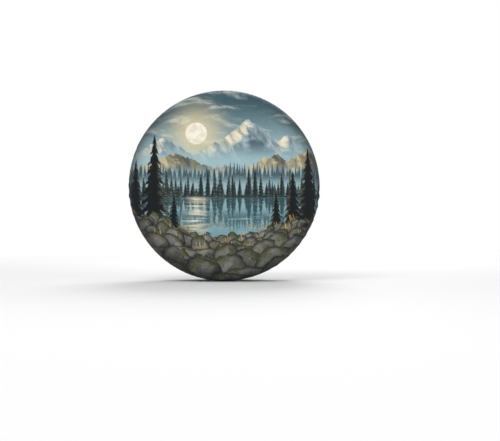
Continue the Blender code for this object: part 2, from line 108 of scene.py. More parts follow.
# Cloth relief, as heights over the section. Counts are waves round the cover.
relief = {
    "seamDip": 0.0011,
    "seamDipWidth": 0.0022,
    "pucker": 0.0011,
    "puckerReach": 0.016,
    "puckerCounts": (64, 81, 97, 118, 139),
    "stitchHold": 0.004,  # beside the stitching the cloth lies flat
    "rimPucker": 0.0044,
    "rimPuckerCounts": (43, 58, 71),
    "rimPuckerPlaces": (  # middle and reach in degrees, share of the height
        (-15, 18, 1.0), (188, 17, 0.7), (152, 9, 0.4), (-52, 12, 0.5),
    ),
    "rimShift": 0.002,
    "rimReach": 0.030,
    "faceSwell": 0.0006,
    "faceFade": (0.03, 0.12, 0.2),  # past the flat part, over this length, and from the middle
    "bandFade": (0.06, 0.05),  # from the face seam and from the skirt seam
    "bandDrag": 0.0034,
    "bandDragReach": 0.042,
    "bandDragHold": 0.006,
    "bandSlack": 0.0020,
    "bandSlackCounts": (7, 12, 19, 31),
    "bandFold": 0.0036,
    "bandFoldCounts": (23, 37, 52),
    "bandFoldLean": 1.7,  # how far the folds slant, in radians for each metre of depth
    "foldCount": 36,
    "foldHeight": 0.0092,
    "foldAtHem": 0.0050,
    "foldBow": 0.014,  # how far a fold swings aside on its way to the hem, in radians
    "pleatHeight": 0.0056,
    "creaseHeight": 0.0026,
    "fineFold": 0.0007,
    "fineFoldCounts": (118, 139, 161),
    "pinchRise": (0.1, 0.5),  # on the skirt: start and length, as shares of the way to the hem
    "foldRise": (0.02, 0.62),
    "foldFall": (0.70, 0.30),
    "pleatRise": (0.30, 0.40),
    "pleatFall": (0.84, 0.16),
    "creaseRise": (0.62, 0.24),
    "creaseFall": (0.93, 0.07),
    "fineRise": (0.25, 0.5),
    "plainArc": math.radians(9),
    "plainFade": math.radians(8),
    "eyelets": (bottom - math.radians(7.5), bottom + math.radians(7.5)),
    "eyeletAt": (bandStart + bandEnd) / 2 - 0.0025,  # y is 0 here
    "eyeletCalm": 0.024,  # round an eyelet the cloth lies smooth
}


def ripple(angle, counts, seed):
    # mixed waves round the cover, from about -1 to 1
    rng = np.random.default_rng(seed)
    total = np.zeros_like(angle)
    for count in counts:
        phase = rng.uniform(0, math.tau)
        total = total + rng.uniform(0.6, 1.0) * np.cos(count * angle + phase)
    return total / len(counts) * 1.4


def swell(angle, counts, seed):
    # the same waves, standing outwards only
    return np.maximum(0.5 + 0.5 * ripple(angle, counts, seed), 0.0)


def patchy(angle, base, size, counts, seed):
    # where waves come and go along the cloth
    return np.maximum(base + size * ripple(angle, counts, seed), 0.0)


def smoothStep(share):
    share = np.clip(share, 0.0, 1.0)
    return share * share * (3 - 2 * share)


def ramp(share, name):
    start, length = relief[name]
    return smoothStep((share - start) / length)


def bell(away, width):
    return np.exp(-((away / width) ** 2))


def angleFrom(angle, middle):
    return np.abs((angle - middle + math.pi) % math.tau - math.pi)


def gatherGrowth(angle):
    # 0 on the plain arc under the lock, 1 where the skirt is gathered
    return smoothStep((angleFrom(angle, bottom) - relief["plainArc"]) / relief["plainFade"])


def foldPhase(angle):
    # a turn for each fold, unevenly spaced
    return relief["foldCount"] * (angle - bottom) + 0.5 * ripple(angle, (3, 5, 8, 13), 21)


def foldSize(angle):
    return 0.85 + 0.25 * ripple(angle, (7, 11, 17), 22)


def seamLift(length, angle):
    toFace = length - faceSeamAt
    toSkirt = length - skirtSeamAt
    toCross = coverRadius * np.minimum(angleFrom(angle, bottom), angleFrom(angle, -bottom))
    toCross = np.where(toFace < 0, 1.0, toCross)  # the face has no cross seam
    dip = sum(bell(away, relief["seamDipWidth"]) for away in (toFace, toSkirt, toCross))
    small = ripple(angle, relief["puckerCounts"], 31) * (0.7 + 0.5 * ripple(angle, (4, 7), 32))
    small = small * np.exp(-np.abs(toFace) / relief["puckerReach"])
    small = small * (1 - np.exp(-np.abs(toFace) / relief["stitchHold"]))
    large = swell(angle, relief["rimPuckerCounts"], 37)
    large = large * bell(toFace + relief["rimShift"], relief["rimReach"])
    large = large * sum(share * bell(angleFrom(angle, math.radians(middle)), math.radians(reach))
                        for middle, reach, share in relief["rimPuckerPlaces"])
    return relief["pucker"] * small + relief["rimPucker"] * large - relief["seamDip"] * dip


def bandLift(length, angle):
    toSkirt = np.abs(length - skirtSeamAt)
    depth = length - bandStart
    fromFace, fromSkirt = relief["bandFade"]
    onBand = smoothStep((length - faceSeamAt) / fromFace) * smoothStep((skirtSeamAt - length) / fromSkirt)
    slack = swell(angle + 0.9 * depth, relief["bandSlackCounts"], 34)
    lean = angle + relief["bandFoldLean"] * depth * ripple(angle, (2, 3, 5), 39)
    fold = np.maximum(ripple(lean, relief["bandFoldCounts"], 40), 0.0) ** 1.3
    fold = fold * patchy(angle - 2.0 * length, 0.35, 0.8, (5, 8, 11), 43)
    wave = ripple(angle + 0.5 * (length - bandEnd), (9, 14, 21), 38)
    drag = np.abs(np.sin(foldPhase(angle) / 2 + 0.9 * wave)) ** 0.8 * np.maximum(0.45 + 0.8 * wave, 0.0)
    drag = drag * np.exp(-toSkirt / relief["bandDragReach"])
    drag = drag * (1 - np.exp(-toSkirt / relief["bandDragHold"]))
    lift = (relief["bandSlack"] * slack + relief["bandFold"] * fold) * onBand
    lift = lift + relief["bandDrag"] * drag * gatherGrowth(angle)
    for eyelet in relief["eyelets"]:
        away = np.hypot(coverRadius * angleFrom(angle, eyelet), length - relief["eyeletAt"])
        lift = lift * (1 - np.exp(-((away / relief["eyeletCalm"]) ** 4)))
    return lift


def skirtLift(length, angle):
    share = (length - skirtSeamAt) / (hemAt - skirtSeamAt)
    bow = np.sin(math.pi * np.clip(share, 0.0, 1.0))
    phase = foldPhase(angle + relief["foldBow"] * bow * ripple(angle, (6, 9, 14), 25))
    broad = 0.5 - 0.5 * np.cos(phase)
    pinched = np.abs(np.sin(phase / 2)) ** 0.75  # round crests and sharp valleys
    fold = (broad + (pinched - broad) * ramp(share, "pinchRise")) * foldSize(angle)
    rise = ramp(share, "foldRise")
    fall = ramp(share, "foldFall")
    lift = (relief["foldHeight"] * rise * (1 - fall) + relief["foldAtHem"] * fall) * fold
    pleat = np.abs(np.sin(phase + 0.8 * ripple(angle, (9, 14, 22), 26))) ** 0.8
    pleat = pleat * patchy(angle, 0.6, 0.7, (10, 15, 19), 27)
    pleat = pleat * ramp(share, "pleatRise") * (1 - 0.75 * ramp(share, "pleatFall"))
    crease = np.abs(np.sin(phase * 2 + 1.6 * ripple(angle, (13, 21, 29), 28))) ** 0.7
    crease = crease * patchy(angle, 0.35, 0.9, (17, 26, 35), 29)
    crease = crease * ramp(share, "creaseRise") * (1 - 0.8 * ramp(share, "creaseFall"))
    fine = ripple(angle, relief["fineFoldCounts"], 36) * ramp(share, "fineRise")
    lift = lift + relief["pleatHeight"] * pleat + relief["creaseHeight"] * crease
    return gatherGrowth(angle) * (lift + relief["fineFold"] * fine)


def clothLift(length, angle):
    length, angle = np.broadcast_arrays(np.asarray(length, float), np.asarray(angle, float))
    past, over, inner = relief["faceFade"]
    onFace = smoothStep((flatRadius + past - length) / over) * smoothStep(length / inner)
    lift = relief["faceSwell"] * onFace * ripple(angle, (2, 3), 33)
    return lift + seamLift(length, angle) + bandLift(length, angle) + skirtLift(length, angle)


def stackPoints(x, y, z):
    return np.stack(np.broadcast_arrays(x, y, z), axis=-1)


def roundPoint(r, y, angle):
    # a point at a radius and angle round the cover
    return stackPoints(r * np.cos(angle), y, r * np.sin(angle))


def clothPoint(length, angle, extra=0.0):
    # points on the cloth's outside
    r, y, normalR, normalY = sectionPoint(length)
    lift = clothLift(length, angle) + extra
    return roundPoint(r + normalR * lift, y + normalY * lift, angle)


# Node trees, written as plain sums
class NodeValue:
    def __init__(self, writer, socket):
        self.writer = writer
        self.socket = socket

    def __add__(self, other):
        return self.writer.calc("ADD", self, other)

    def __radd__(self, other):
        return self.writer.calc("ADD", other, self)

    def __sub__(self, other):
        return self.writer.calc("SUBTRACT", self, other)

    def __rsub__(self, other):
        return self.writer.calc("SUBTRACT", other, self)

    def __mul__(self, other):
        return self.writer.calc("MULTIPLY", self, other)

    def __truediv__(self, other):
        return self.writer.calc("DIVIDE", self, other)

    def __abs__(self):
        return self.writer.calc("ABSOLUTE", self)


class NodeWriter:
    # short names for the nodes that are used most

    def __init__(self, tree):
        self.tree = tree

    def node(self, kind, **settings):
        made = self.tree.nodes.new(kind)
        for name, value in settings.items():
            setattr(made, name, value)
        return made

    def fill(self, socket, value):
        if isinstance(value, NodeValue):
            value = value.socket
        if isinstance(value, bpy.types.NodeSocket):
            self.tree.links.new(value, socket)
        elif value is not None:
            socket.default_value = value

    def make(self, kind, given, out=0, **settings):
        # a node with some of its inputs given, by name or number; returns what comes out
        made = self.node(kind, **settings)
        for key, value in given.items():
            self.fill(made.inputs[key], value)
        return NodeValue(self, made.outputs[out])

    def calc(self, operation, *values):
        return self.make("ShaderNodeMath", dict(enumerate(values)), operation=operation)

    def high(self, a, b):
        return self.calc("MAXIMUM", a, b)

    def low(self, a, b):
        return self.calc("MINIMUM", a, b)

    def smooth(self, value, start, end, low=0.0, high=1.0):
        given = dict(enumerate((value, start, end, low, high)))
        return self.make("ShaderNodeMapRange", given, interpolation_type="SMOOTHSTEP")

    def vector(self, operation, a, b=None):
        out = "Value" if operation in ("LENGTH", "DISTANCE") else "Vector"
        return self.make("ShaderNodeVectorMath", {0: a, 1: b}, out, operation=operation)

    def join(self, x, y, z=0.0):
        return self.make("ShaderNodeCombineXYZ", {0: x, 1: y, 2: z})

    def split(self, vector):
        made = self.node("ShaderNodeSeparateXYZ")
        self.fill(made.inputs[0], vector)
        return [NodeValue(self, socket) for socket in made.outputs]

    def noise(self, vector, scale, detail=3.0, rough=0.5, warp=0.0):
        given = {"Vector": vector, "Scale": scale, "Detail": detail, "Roughness": rough, "Distortion": warp}
        return self.make("ShaderNodeTexNoise", given, "Fac")

    def noiseLine(self, along, detail=4.0, rough=0.5):
        given = {"W": along, "Scale": 1.0, "Detail": detail, "Roughness": rough}
        return self.make("ShaderNodeTexNoise", given, "Fac", noise_dimensions="1D")

    def chance(self, seed):
        # three random numbers for a whole number
        turns = (12.9898, 78.233, 37.719)
        return [self.calc("FRACT", self.calc("SINE", seed * turn) * 4375.85) for turn in turns]

    def mix(self, share, a, b, kind="MIX"):
        given = {0: share, 6: a, 7: b}
        return self.make("ShaderNodeMix", given, 2, data_type="RGBA", blend_type=kind)

    def shaded(self, colour, shade):
        return self.mix(1.0, colour, self.join(shade, shade, shade), "MULTIPLY")

    def group(self, tree, **values):
        made = self.node("ShaderNodeGroup", node_tree=tree)
        for name, value in values.items():
            self.fill(made.inputs[name], value)
        return {socket.name: NodeValue(self, socket) for socket in made.outputs}


def paint(red, green, blue):
    # a colour as it looks on screen, 0 to 255
    def linear(value):
        value = value / 255
        return value / 12.92 if value <= 0.04045 else ((value + 0.055) / 1.055) ** 2.4

    return (linear(red), linear(green), linear(blue), 1.0)


def newTree(name, inputs, outputs, kind="Shader", outKind="Float"):
    # a node group; a number makes a float socket with that value, a word another kind of socket
    tree = bpy.data.node_groups.new(name, kind + "NodeTree")
    sockets = tree.interface
    for socketName, value in inputs.items():
        if isinstance(value, str):
            sockets.new_socket(socketName, in_out="INPUT", socket_type="NodeSocket" + value)
        else:
            socket = sockets.new_socket(socketName, in_out="INPUT", socket_type="NodeSocketFloat")
            socket.default_value = value
    for socketName in outputs:
        sockets.new_socket(socketName, in_out="OUTPUT", socket_type="NodeSocket" + outKind)
    w = NodeWriter(tree)
    given = [NodeValue(w, socket) for socket in w.node("NodeGroupInput").outputs[:len(inputs)]]
    return tree, w, given, w.node("NodeGroupOutput").inputs


def newMaterial(name):
    material = bpy.data.materials.new(name)
    material.use_nodes = True
    return material, NodeWriter(material.node_tree), material.node_tree.nodes["Principled BSDF"].inputs


def addObject(name, data, materials=()):
    for material in materials:
        data.materials.append(material)
    obj = bpy.data.objects.new(name, data)
    bpy.context.scene.collection.objects.link(obj)
    return obj


# Stage: camera, light and floor
cameraSet = {
    "lens": 85.0,
    "sensor": 36.0,
    "frame": (500, 441),
    "coverCentre": (224.2, 185.8),  # where the middle of the cover shows, in pixels
    "coverWidth": 190.3,  # pixels
}
lightSet = {
    "key": {"place": (-1.6, -3.4, 3.4), "size": 3.2, "watts": 112.0},
    "fill": {"place": (3.0, -3.2, 0.9), "size": 3.0, "watts": 34.0},
    "back": {"place": (0.6, 3.6, 3.0), "size": 3.0, "watts": 120.0},
    "world": 0.42,
}
floorSet = {
    "radius": 14.0,
    "sides": 96,
    "drop": 0.0004,
    "colour": (0.86, 0.86, 0.86, 1),
    "roughness": 0.75,
    "fade": (0.9, 4.5),
}


def makeCamera():
    metrePerPixel = 2 * coverRadius / cameraSet["coverWidth"]
    distance = metrePerPixel * cameraSet["frame"][0] * cameraSet["lens"] / cameraSet["sensor"]
    data = bpy.data.cameras.new("photoCamera")
    data.lens = cameraSet["lens"]
    data.sensor_width = cameraSet["sensor"]
    camera = addObject("photoCamera", data)
    across, down = ((size / 2 - centre) * metrePerPixel
                    for size, centre in zip(cameraSet["frame"], cameraSet["coverCentre"]))
    camera.location = (across, faceY + frontShoulder - distance, -down)
    camera.rotation_euler = (math.pi / 2, 0, 0)
    bpy.context.scene.camera = camera


def makeLamp(name, settings):
    data = bpy.data.lights.new(name, "AREA")
    data.shape = "DISK"
    data.size = settings["size"]
    data.energy = settings["watts"]
    lamp = addObject(name, data)
    lamp.location = settings["place"]
    lamp.rotation_euler = (-Vector(settings["place"])).to_track_quat("-Z", "Y").to_euler()


def makeWorld():
    world = bpy.data.worlds.new("studio")
    bpy.context.scene.world = world
    world.use_nodes = True
    w = NodeWriter(world.node_tree)
    background = world.node_tree.nodes["Background"].inputs
    path = w.node("ShaderNodeLightPath").outputs
    seen = w.high(w.high(path["Is Camera Ray"], path["Is Glossy Ray"]), path["Is Transmission Ray"])
    background["Color"].default_value = (1, 1, 1, 1)
    w.fill(background["Strength"], lightSet["world"] + seen * (1.0 - lightSet["world"]))


def makeFloor(height):
    material, w, shader = newMaterial("paleFloor")
    shader["Base Color"].default_value = floorSet["colour"]
    shader["Roughness"].default_value = floorSet["roughness"]
    place = w.node("ShaderNodeTexCoord").outputs["Object"]
    far = w.smooth(w.vector("LENGTH", place), *floorSet["fade"])  # the floor fades to white
    path = w.node("ShaderNodeLightPath").outputs
    seen = w.high(path["Is Camera Ray"], path["Is Glossy Ray"])
    nodes = material.node_tree.nodes
    glow = w.make("ShaderNodeEmission", {})
    mix = w.make("ShaderNodeMixShader", {0: far * seen, 1: nodes["Principled BSDF"].outputs[0], 2: glow})
    w.fill(nodes["Material Output"].inputs[0], mix)
    mesh = bpy.data.meshes.new("floor")
    bm = bmesh.new()
    bmesh.ops.create_circle(bm, cap_ends=True, segments=floorSet["sides"], radius=floorSet["radius"])
    bmesh.ops.translate(bm, vec=(0, 0, height), verts=bm.verts)
    bm.to_mesh(mesh)
    bm.free()
    floor = addObject("floor", mesh, [material])


# Effects that materials share
def makeWeaveGroup():
    # plain weave on a map in metres: thread height, and painted shade in the gaps between threads
    sockets = {"Map": "Vector", "Pitch": 0.001}
    tree, w, (place, pitch), end = newTree("plainWeave", sockets, ("Height", "Shade"))
    x, y, _ = w.split(place)
    u = x / pitch
    v = y / pitch
    over = abs(w.calc("SINE", u * math.pi))
    under = abs(w.calc("SINE", v * math.pi))
    odd = w.calc("MODULO", abs(w.calc("FLOOR", u) + w.calc("FLOOR", v)), 2.0)
    height = w.high(over * (0.55 + odd * 0.45), under * (1.0 - odd * 0.45))
    w.fill(end["Height"], height)
    w.fill(end["Shade"], w.smooth(height, 0.2, 0.9, 0.80, 1.0))
    return tree


def makeSoilGroup():
    # faint unevenness that handling and dust leave on cloth
    sockets = {"Place": "Vector", "Amount": 0.1}
    tree, w, (place, amount), end = newTree("clothSoil", sockets, ("Shade", "Dust"))
    broad = w.noise(place, 5.5, 4, 0.6)
    fine = w.noise(place, 60.0, 3, 0.6)
    both = broad * 0.7 + fine * 0.3
    w.fill(end["Shade"], 1.0 + (both - 0.5) * (amount * 2.0))
    w.fill(end["Dust"], w.smooth(broad, 0.52, 0.75) * w.smooth(fine, 0.35, 0.7))
    return tree


def makeFirGroup():
    # a fir's outline, and where light falls on its branches
    sockets = {"U": 0, "V": 0, "Place": 0, "Foot": 0, "Height": 0.2, "Width": 0.05, "Tiers": 9,
               "Lit Side": 1, "Left": 0.5, "Right": 0.5}
    tree, w, given, end = newTree("firTree", sockets, ("Mask", "Light"))
    u, v, place, foot, height, width, tiers, litSide, left, right = given
    offset = u - place
    reach = abs(offset)
    up = (v - foot) / height
    toRight = w.calc("GREATER_THAN", offset, 0.0)
    rough = left + (right - left) * toRight - 0.5
    hang = reach / height * 0.62  # branches run out and down
    part = w.calc("FRACT", (up + hang) * tiers)
    taper = width * (1.0 - up + 0.025)
    half = taper * (1.0 - part * 0.5)
    edge = half - (reach + rough * taper * 1.15)
    inside = w.smooth(edge / width, -0.012, 0.028)
    w.fill(end["Mask"], inside * (w.smooth(up, -0.004, 0.004) * w.smooth(up, 1.0, 0.99)))
    side = w.smooth(offset / width * litSide, -0.4, 0.6)
    tip = w.smooth(reach / w.high(half, 0.0005), 0.15, 0.9)
    w.fill(end["Light"], side * tip * w.smooth(rough, 0.08, -0.16))
    return tree


def makeFirRowGroup(firTree):
    # a row of firs of mixed heights along a shore or ridge
    sockets = {"U": 0, "V": 0, "Foot": 0, "Spacing": 0.02, "Height": 0.06, "Seed": 0,
               "Left": 0.5, "Right": 0.5}
    tree, w, given, end = newTree("firRow", sockets, ("Mask", "Light"))
    u, v, foot, spacing, height, seed, left, right = given
    cell = w.calc("FLOOR", u / spacing)
    first, second, third = w.chance(cell + seed)
    middle = cell + 0.5 + (first - 0.5) * 0.45
    tall = height * (0.5 + second * 0.8)
    wide = spacing * (0.45 + third * 0.25)
    fir = w.group(firTree, U=u, V=v, Place=middle * spacing, Foot=foot, Height=tall, Width=wide,
                  Tiers=7.0, Left=left, Right=right)
    for name in ("Mask", "Light"):
        w.fill(end[name], fir[name])
    return tree


def makeBoulderGroup():
    # a row of boulders: their outline, the light on them, and how much they look upwards
    sockets = {"U": 0, "V": 0, "Line": 0, "Spacing": 0.08, "Size": 0.05, "Seed": 0,
               "Rough": 0, "Plane": 0.5}
    tree, w, given, end = newTree("boulderRow", sockets, ("Mask", "Light", "Top"))
    u, v, line, spacing, size, seed, rough, plane = given
    cell = w.calc("FLOOR", u / spacing)
    first, second, third = w.chance(cell + seed)
    middle = (cell + 0.5 + (first - 0.5) * 0.3) * spacing
    wide = spacing * (0.36 + second * 0.13)
    tall = size * (0.45 + third * 0.75)
    x = (u - middle) / wide
    y = (v - line) / tall
    uneven = y * (0.86 + plane * 0.28)
    away = w.calc("SQRT", x * x + uneven * uneven) + rough * 0.42
    w.fill(end["Mask"], w.smooth(away, 1.02, 0.97))
    lean = y * 0.40 + x * -0.15
    planes = (plane - 0.5) * 0.40 + rough * 0.75
    light = second * 0.22 + 0.24 + (lean + planes)
    light = light * w.smooth(away, 1.0, 0.62, 0.08, 1.0)  # dark where boulders meet
    w.fill(end["Light"], w.low(w.high(light, 0.0), 1.0))
    w.fill(end["Top"], w.smooth(y + rough * 1.5, 0.0, 0.75))
    return tree


# Face print: a lake below mountains, with firs, boulders and a pale moon
scenery = {
    "moon": (-0.118, 0.222),
    "moonRadius": 0.046,
    "waterLine": -0.048,
    "farPeaks": ((0.105, 0.285, 0.78), (-0.035, 0.185, 0.62), (0.27, 0.215, 0.70), (-0.26, 0.205, 0.60)),
    "nearPeaks": ((-0.205, 0.140, 0.42), (0.005, 0.086, 0.36), (0.215, 0.132, 0.46), (0.36, 0.150, 0.5)),
    "farRock": ((84, 108, 121), (172, 190, 194), (242, 232, 204)),  # in shade, lit, snow
    "nearRock": ((62, 78, 87), (140, 134, 110), (214, 200, 162)),
    "bigFirs": (  # place, foot, height, half width, lit side
        (-0.378, -0.215, 0.330, 0.064, 1.0),
        (-0.296, -0.245, 0.465, 0.092, 1.0),
        (-0.212, -0.245, 0.205, 0.046, 1.0),
        (0.222, -0.255, 0.225, 0.050, -1.0),
        (0.358, -0.235, 0.400, 0.078, -1.0),
        (0.293, -0.250, 0.315, 0.066, -1.0),
    ),
    "boulderRows": (  # height of the row, spacing, size, seed
        (-0.236, 0.066, 0.031, 3.0),
        (-0.262, 0.100, 0.042, 17.0),
        (-0.298, 0.145, 0.058, 29.0),
        (-0.344, 0.190, 0.068, 43.0),
        (-0.395, 0.235, 0.076, 61.0),
    ),
    "strawRows": 3,
}


def paintSky(w, u, v):
    place = w.join(u, v)
    sky = w.mix(w.smooth(v, 0.04, 0.40), paint(178, 208, 214), paint(58, 88, 100))
    streak = w.join(u * 3.0, v * 8.5)
    cloud = w.noise(streak, 1.35, 7, 0.58, 0.6)
    under = w.noise(w.vector("ADD", streak, (0.03, 0.13, 0)), 1.35, 5, 0.58, 0.6)
    bank = w.smooth(cloud, 0.46, 0.66)
    lit = w.smooth(cloud - under, -0.06, 0.09)
    clouds = w.mix(lit, paint(86, 114, 125), paint(208, 214, 207))
    sky = w.mix(bank * 0.8, sky, clouds)
    distance = w.vector("DISTANCE", place, (*scenery["moon"], 0.0))
    halo = w.smooth(distance, 0.23, 0.02)
    sky = w.mix(halo * halo * 0.70, sky, paint(238, 222, 178))
    radius = scenery["moonRadius"]
    disc = w.smooth(distance, radius + 0.0012, radius - 0.0012)
    seas = w.smooth(w.noise(place, 34.0, 4, 0.55), 0.42, 0.62)
    moon = w.mix(seas * 0.45, paint(250, 246, 228), paint(214, 206, 183))
    return w.mix(disc * (1.0 - bank * 0.35), sky, moon)


def paintRange(w, u, v, below, peaks, colours, mistFrom, seed):
    place = w.join(u + seed, v)
    shiver = (w.noiseLine(v * 42.0 + seed, 5, 0.6) - 0.5) * 0.075
    rugged = (w.noiseLine(u * 30.0 + seed, 6, 0.62) - 0.5) * 0.045
    blur = (w.noise(place, 30.0, 3, 0.6) - 0.5) * 0.09
    top, side = None, None
    for peakPlace, peakTop, slope in peaks:
        offset = u - peakPlace
        line = peakTop - abs(offset) * slope
        lit = w.smooth(offset + shiver, 0.016, -0.016)
        if top is None:
            top, side = line, lit
            continue
        taller = w.smooth(line - top + blur, -0.022, 0.022)  # no hard line where slopes meet
        side = lit * taller + side * (1.0 - taller)
        top = w.high(top, line)
    depth = top + rugged - v
    inside = w.smooth(depth, -0.0006, 0.0014)
    gully = w.noise(w.join((u + v * 0.5) * 30.0, v * 12.0, seed), 1.0, 6, 0.62, 0.8)
    crag = 0.25 + w.smooth(gully, 0.36, 0.62) * 0.75
    dark, light, snow = (paint(*colour) for colour in colours)
    rock = w.mix(side * crag, dark, light)
    snowLine = 0.020 + w.noise(place, 22.0, 5, 0.6) * 0.085
    cap = w.smooth(snowLine - depth, -0.012, 0.012) * crag
    rock = w.mix(cap, rock, w.mix(side, light, snow))
    mist = w.smooth(v, mistFrom[1], mistFrom[0])
    rock = w.mix(mist * 0.92, rock, paint(168, 198, 204))
    return w.mix(inside, below, rock)


def paintNeedles(w, u, v, pitch):
    # streaks that run out and down to each side, shared by all firs of one size
    sides = {}
    for name, turn in (("Left", -1.0), ("Right", 1.0)):
        out = u * (turn * 0.31 * pitch) - v * (0.15 * pitch)
        across = u * (turn * 0.42 * pitch) + v * (0.9 * pitch)
        sides[name] = w.noise(w.join(out, across, turn), 1.0, 3, 0.6)
    return sides


def paintFirs(w, u, v, below, firRow):
    needles = paintNeedles(w, u, v, 210.0)
    foot = 0.012 + w.noiseLine(u * 7.0, 3, 0.5) * 0.045
    far = w.group(firRow, U=u, V=v, Foot=foot, Spacing=0.0165, Height=0.052, Seed=3.0, **needles)
    between = w.group(firRow, U=u + 0.009, V=v, Foot=foot - 0.006, Spacing=0.021, Height=0.050,
                      Seed=41.0, **needles)
    farMask = w.high(w.high(far["Mask"], between["Mask"]), w.smooth(foot - v, -0.002, 0.004))
    mist = w.smooth(v, 0.050, -0.006)
    colour = w.mix(farMask, below, w.mix(mist, paint(76, 99, 106), paint(160, 190, 197)))
    shore = scenery["waterLine"] - 0.004 + w.noiseLine(u * 11.0, 3, 0.5) * 0.020
    near = w.group(firRow, U=u, V=v, Foot=shore, Spacing=0.029, Height=0.098, Seed=7.0, **needles)
    nearer = w.group(firRow, U=u + 0.013, V=v, Foot=shore, Spacing=0.023, Height=0.066,
                     Seed=19.0, **needles)
    nearMask = w.high(w.high(near["Mask"], nearer["Mask"]), w.smooth(shore - v, -0.004, 0.002))
    light = w.high(near["Light"], nearer["Light"]) * 0.7
    return w.mix(nearMask, colour, w.mix(light, paint(38, 48, 52), paint(116, 126, 114)))


def paintWater(w, u, v, mirrored):
    below = scenery["waterLine"] - v
    water = w.smooth(below, -0.0006, 0.0006)
    tint = w.mix(w.smooth(below, 0.0, 0.22, 0.22, 0.62), mirrored, paint(88, 138, 150))
    streak = w.noise(w.join(u * 6.0, v * 95.0), 1.0, 5, 0.6, 0.3)
    gleam = w.smooth(streak, 0.56, 0.70) * w.smooth(below, 0.0, 0.05)
    tint = w.mix(gleam * 0.6, tint, paint(180, 212, 218))
    column = w.smooth(abs(u - scenery["moon"][0]), 0.085, 0.0)
    path = column * column * w.smooth(streak, 0.42, 0.60)
    return w.mix(water, mirrored, w.mix(path * 0.85, tint, paint(240, 232, 204)))


def paintBigFirs(w, u, v, below, firTree):
    needles = paintNeedles(w, u, v, 80.0)
    colour = below
    for place, foot, height, width, side in scenery["bigFirs"]:
        fir = w.group(firTree, U=u, V=v, Place=place, Foot=foot, Height=height, Width=width,
                      Tiers=12.0, **needles, **{"Lit Side": side})
        shade = w.mix(fir["Light"] * 0.8, paint(22, 27, 29), paint(112, 114, 94))
        colour = w.mix(fir["Mask"], colour, shade)
    return colour


def paintStraw(w, u, v, below, foot, height, seed):
    # tufts of dry blades, that lean a little
    over = v - foot
    blades = w.noiseLine((u + over * 0.22) * 300.0 + seed, 2, 0.5)
    tufts = w.smooth(w.noiseLine(u * 16.0 + seed, 2, 0.5), 0.38, 0.62)
    reach = w.smooth(blades, 0.32, 0.76) * tufts * height
    grass = w.smooth(reach - over, -0.0006, 0.0014) * w.smooth(tufts, 0.02, 0.10)
    straw = w.mix(w.smooth(over, 0.010, height * 0.7), paint(96, 84, 48), paint(228, 196, 128))
    return w.mix(grass, below, straw)


def paintShore(w, u, v, below, boulderRow):
    # rising banks at both sides, with boulders, moss and tufts of straw
    place = w.join(u, v)
    grain = w.noise(place, 130.0, 5, 0.65)
    patches = w.smooth(w.noise(place, 21.0, 4, 0.6), 0.40, 0.56)
    rough = w.noise(place, 26.0, 4, 0.6) - 0.5
    facet = w.make("ShaderNodeTexVoronoi", {"Vector": place, "Scale": 24.0}, "Position")
    plane = w.make("ShaderNodeTexWhiteNoise", {"Vector": facet}, "Value")
    bank = w.smooth(u, -0.05, -0.34, 0.0, 0.090) + w.smooth(u, 0.07, 0.36, 0.0, 0.075)
    uneven = (w.noiseLine(u * 9.0 + 5.0, 4, 0.5) - 0.5) * 0.030
    stir = w.smooth(grain, 0.36, 0.66)
    moss = w.mix(stir, paint(78, 82, 55), paint(152, 148, 104))
    ground = -0.262 + bank + uneven
    earth = w.mix(stir, paint(52, 52, 45), paint(116, 106, 80))
    colour = w.mix(w.smooth(ground - v, -0.002, 0.003), below, earth)
    for row, (level, spacing, size, seed) in enumerate(scenery["boulderRows"]):
        line = level + bank * (1.0 - 0.12 * row) + uneven * 0.5
        if row < scenery["strawRows"]:
            colour = paintStraw(w, u, v, colour, line, 0.052 + 0.006 * row, seed)
        for shift in (0.0, 0.5):
            stone = w.group(boulderRow, U=u + shift * spacing, V=v + shift * size * 0.4, Line=line,
                            Spacing=spacing, Size=size, Seed=seed + 100 * shift, Rough=rough, Plane=plane)
            tone = stone["Light"] * 0.92 + (grain - 0.5) * 0.35
            face = w.mix(tone, paint(24, 28, 31), paint(170, 170, 162))
            mossy = stone["Top"] * patches * 0.9
            face = w.mix(mossy, face, w.mix(w.low(tone, 1.0), paint(58, 61, 42), moss))
            colour = w.mix(stone["Mask"], colour, face)
    return colour


def paintScenery(w, place, groups):
    stretched = w.make("ShaderNodeMapping", {"Vector": place, "Scale": (14.0, 120.0, 0.0)})
    chop = w.noise(stretched, 1.0, 4, 0.6) - 0.5
    wobble = (w.noise(place, 60.0, 2, 0.5) - 0.5) * 0.004
    u, v, _ = w.split(place)
    below = scenery["waterLine"] - v
    isWater = w.calc("GREATER_THAN", below, 0.0)
    stir = chop * isWater * w.smooth(below, 0.0, 0.2, 0.010, 0.034)
    mirrorU = u + stir  # below the water line the same scene, upside down and stirred
    mirrorV = v + below * 2.0 * isWater + stir * 0.6
    colour = paintSky(w, mirrorU, mirrorV)
    for peaks, rock, mistFrom, seed in (("farPeaks", "farRock", (0.10, 0.19), 2.0),
                                        ("nearPeaks", "nearRock", (0.025, 0.10), 8.5)):
        colour = paintRange(w, mirrorU, mirrorV, colour, scenery[peaks], scenery[rock], mistFrom, seed)
    colour = paintFirs(w, mirrorU, mirrorV, colour, groups["firRow"])
    colour = paintWater(w, u, v, colour)
    colour = paintBigFirs(w, u + wobble, v - wobble, colour, groups["firTree"])
    colour = paintShore(w, u, v, colour, groups["boulderRow"])
    brush = w.noise(w.join(u, v * 1.6), 48.0, 4, 0.6, 1.2)
    colour = w.mix(0.35, colour, w.mix(brush, paint(40, 40, 40), paint(215, 215, 215)), "SOFT_LIGHT")
    distance = w.calc("SQRT", u * u + v * v)
    edge = w.smooth(distance, 0.33, 0.43) * w.smooth(v, 0.40, 0.27)  # painted shade: darker rim where the roll turns from the light above, but for the top
    return w.mix(edge * 0.76, colour, paint(24, 30, 34))


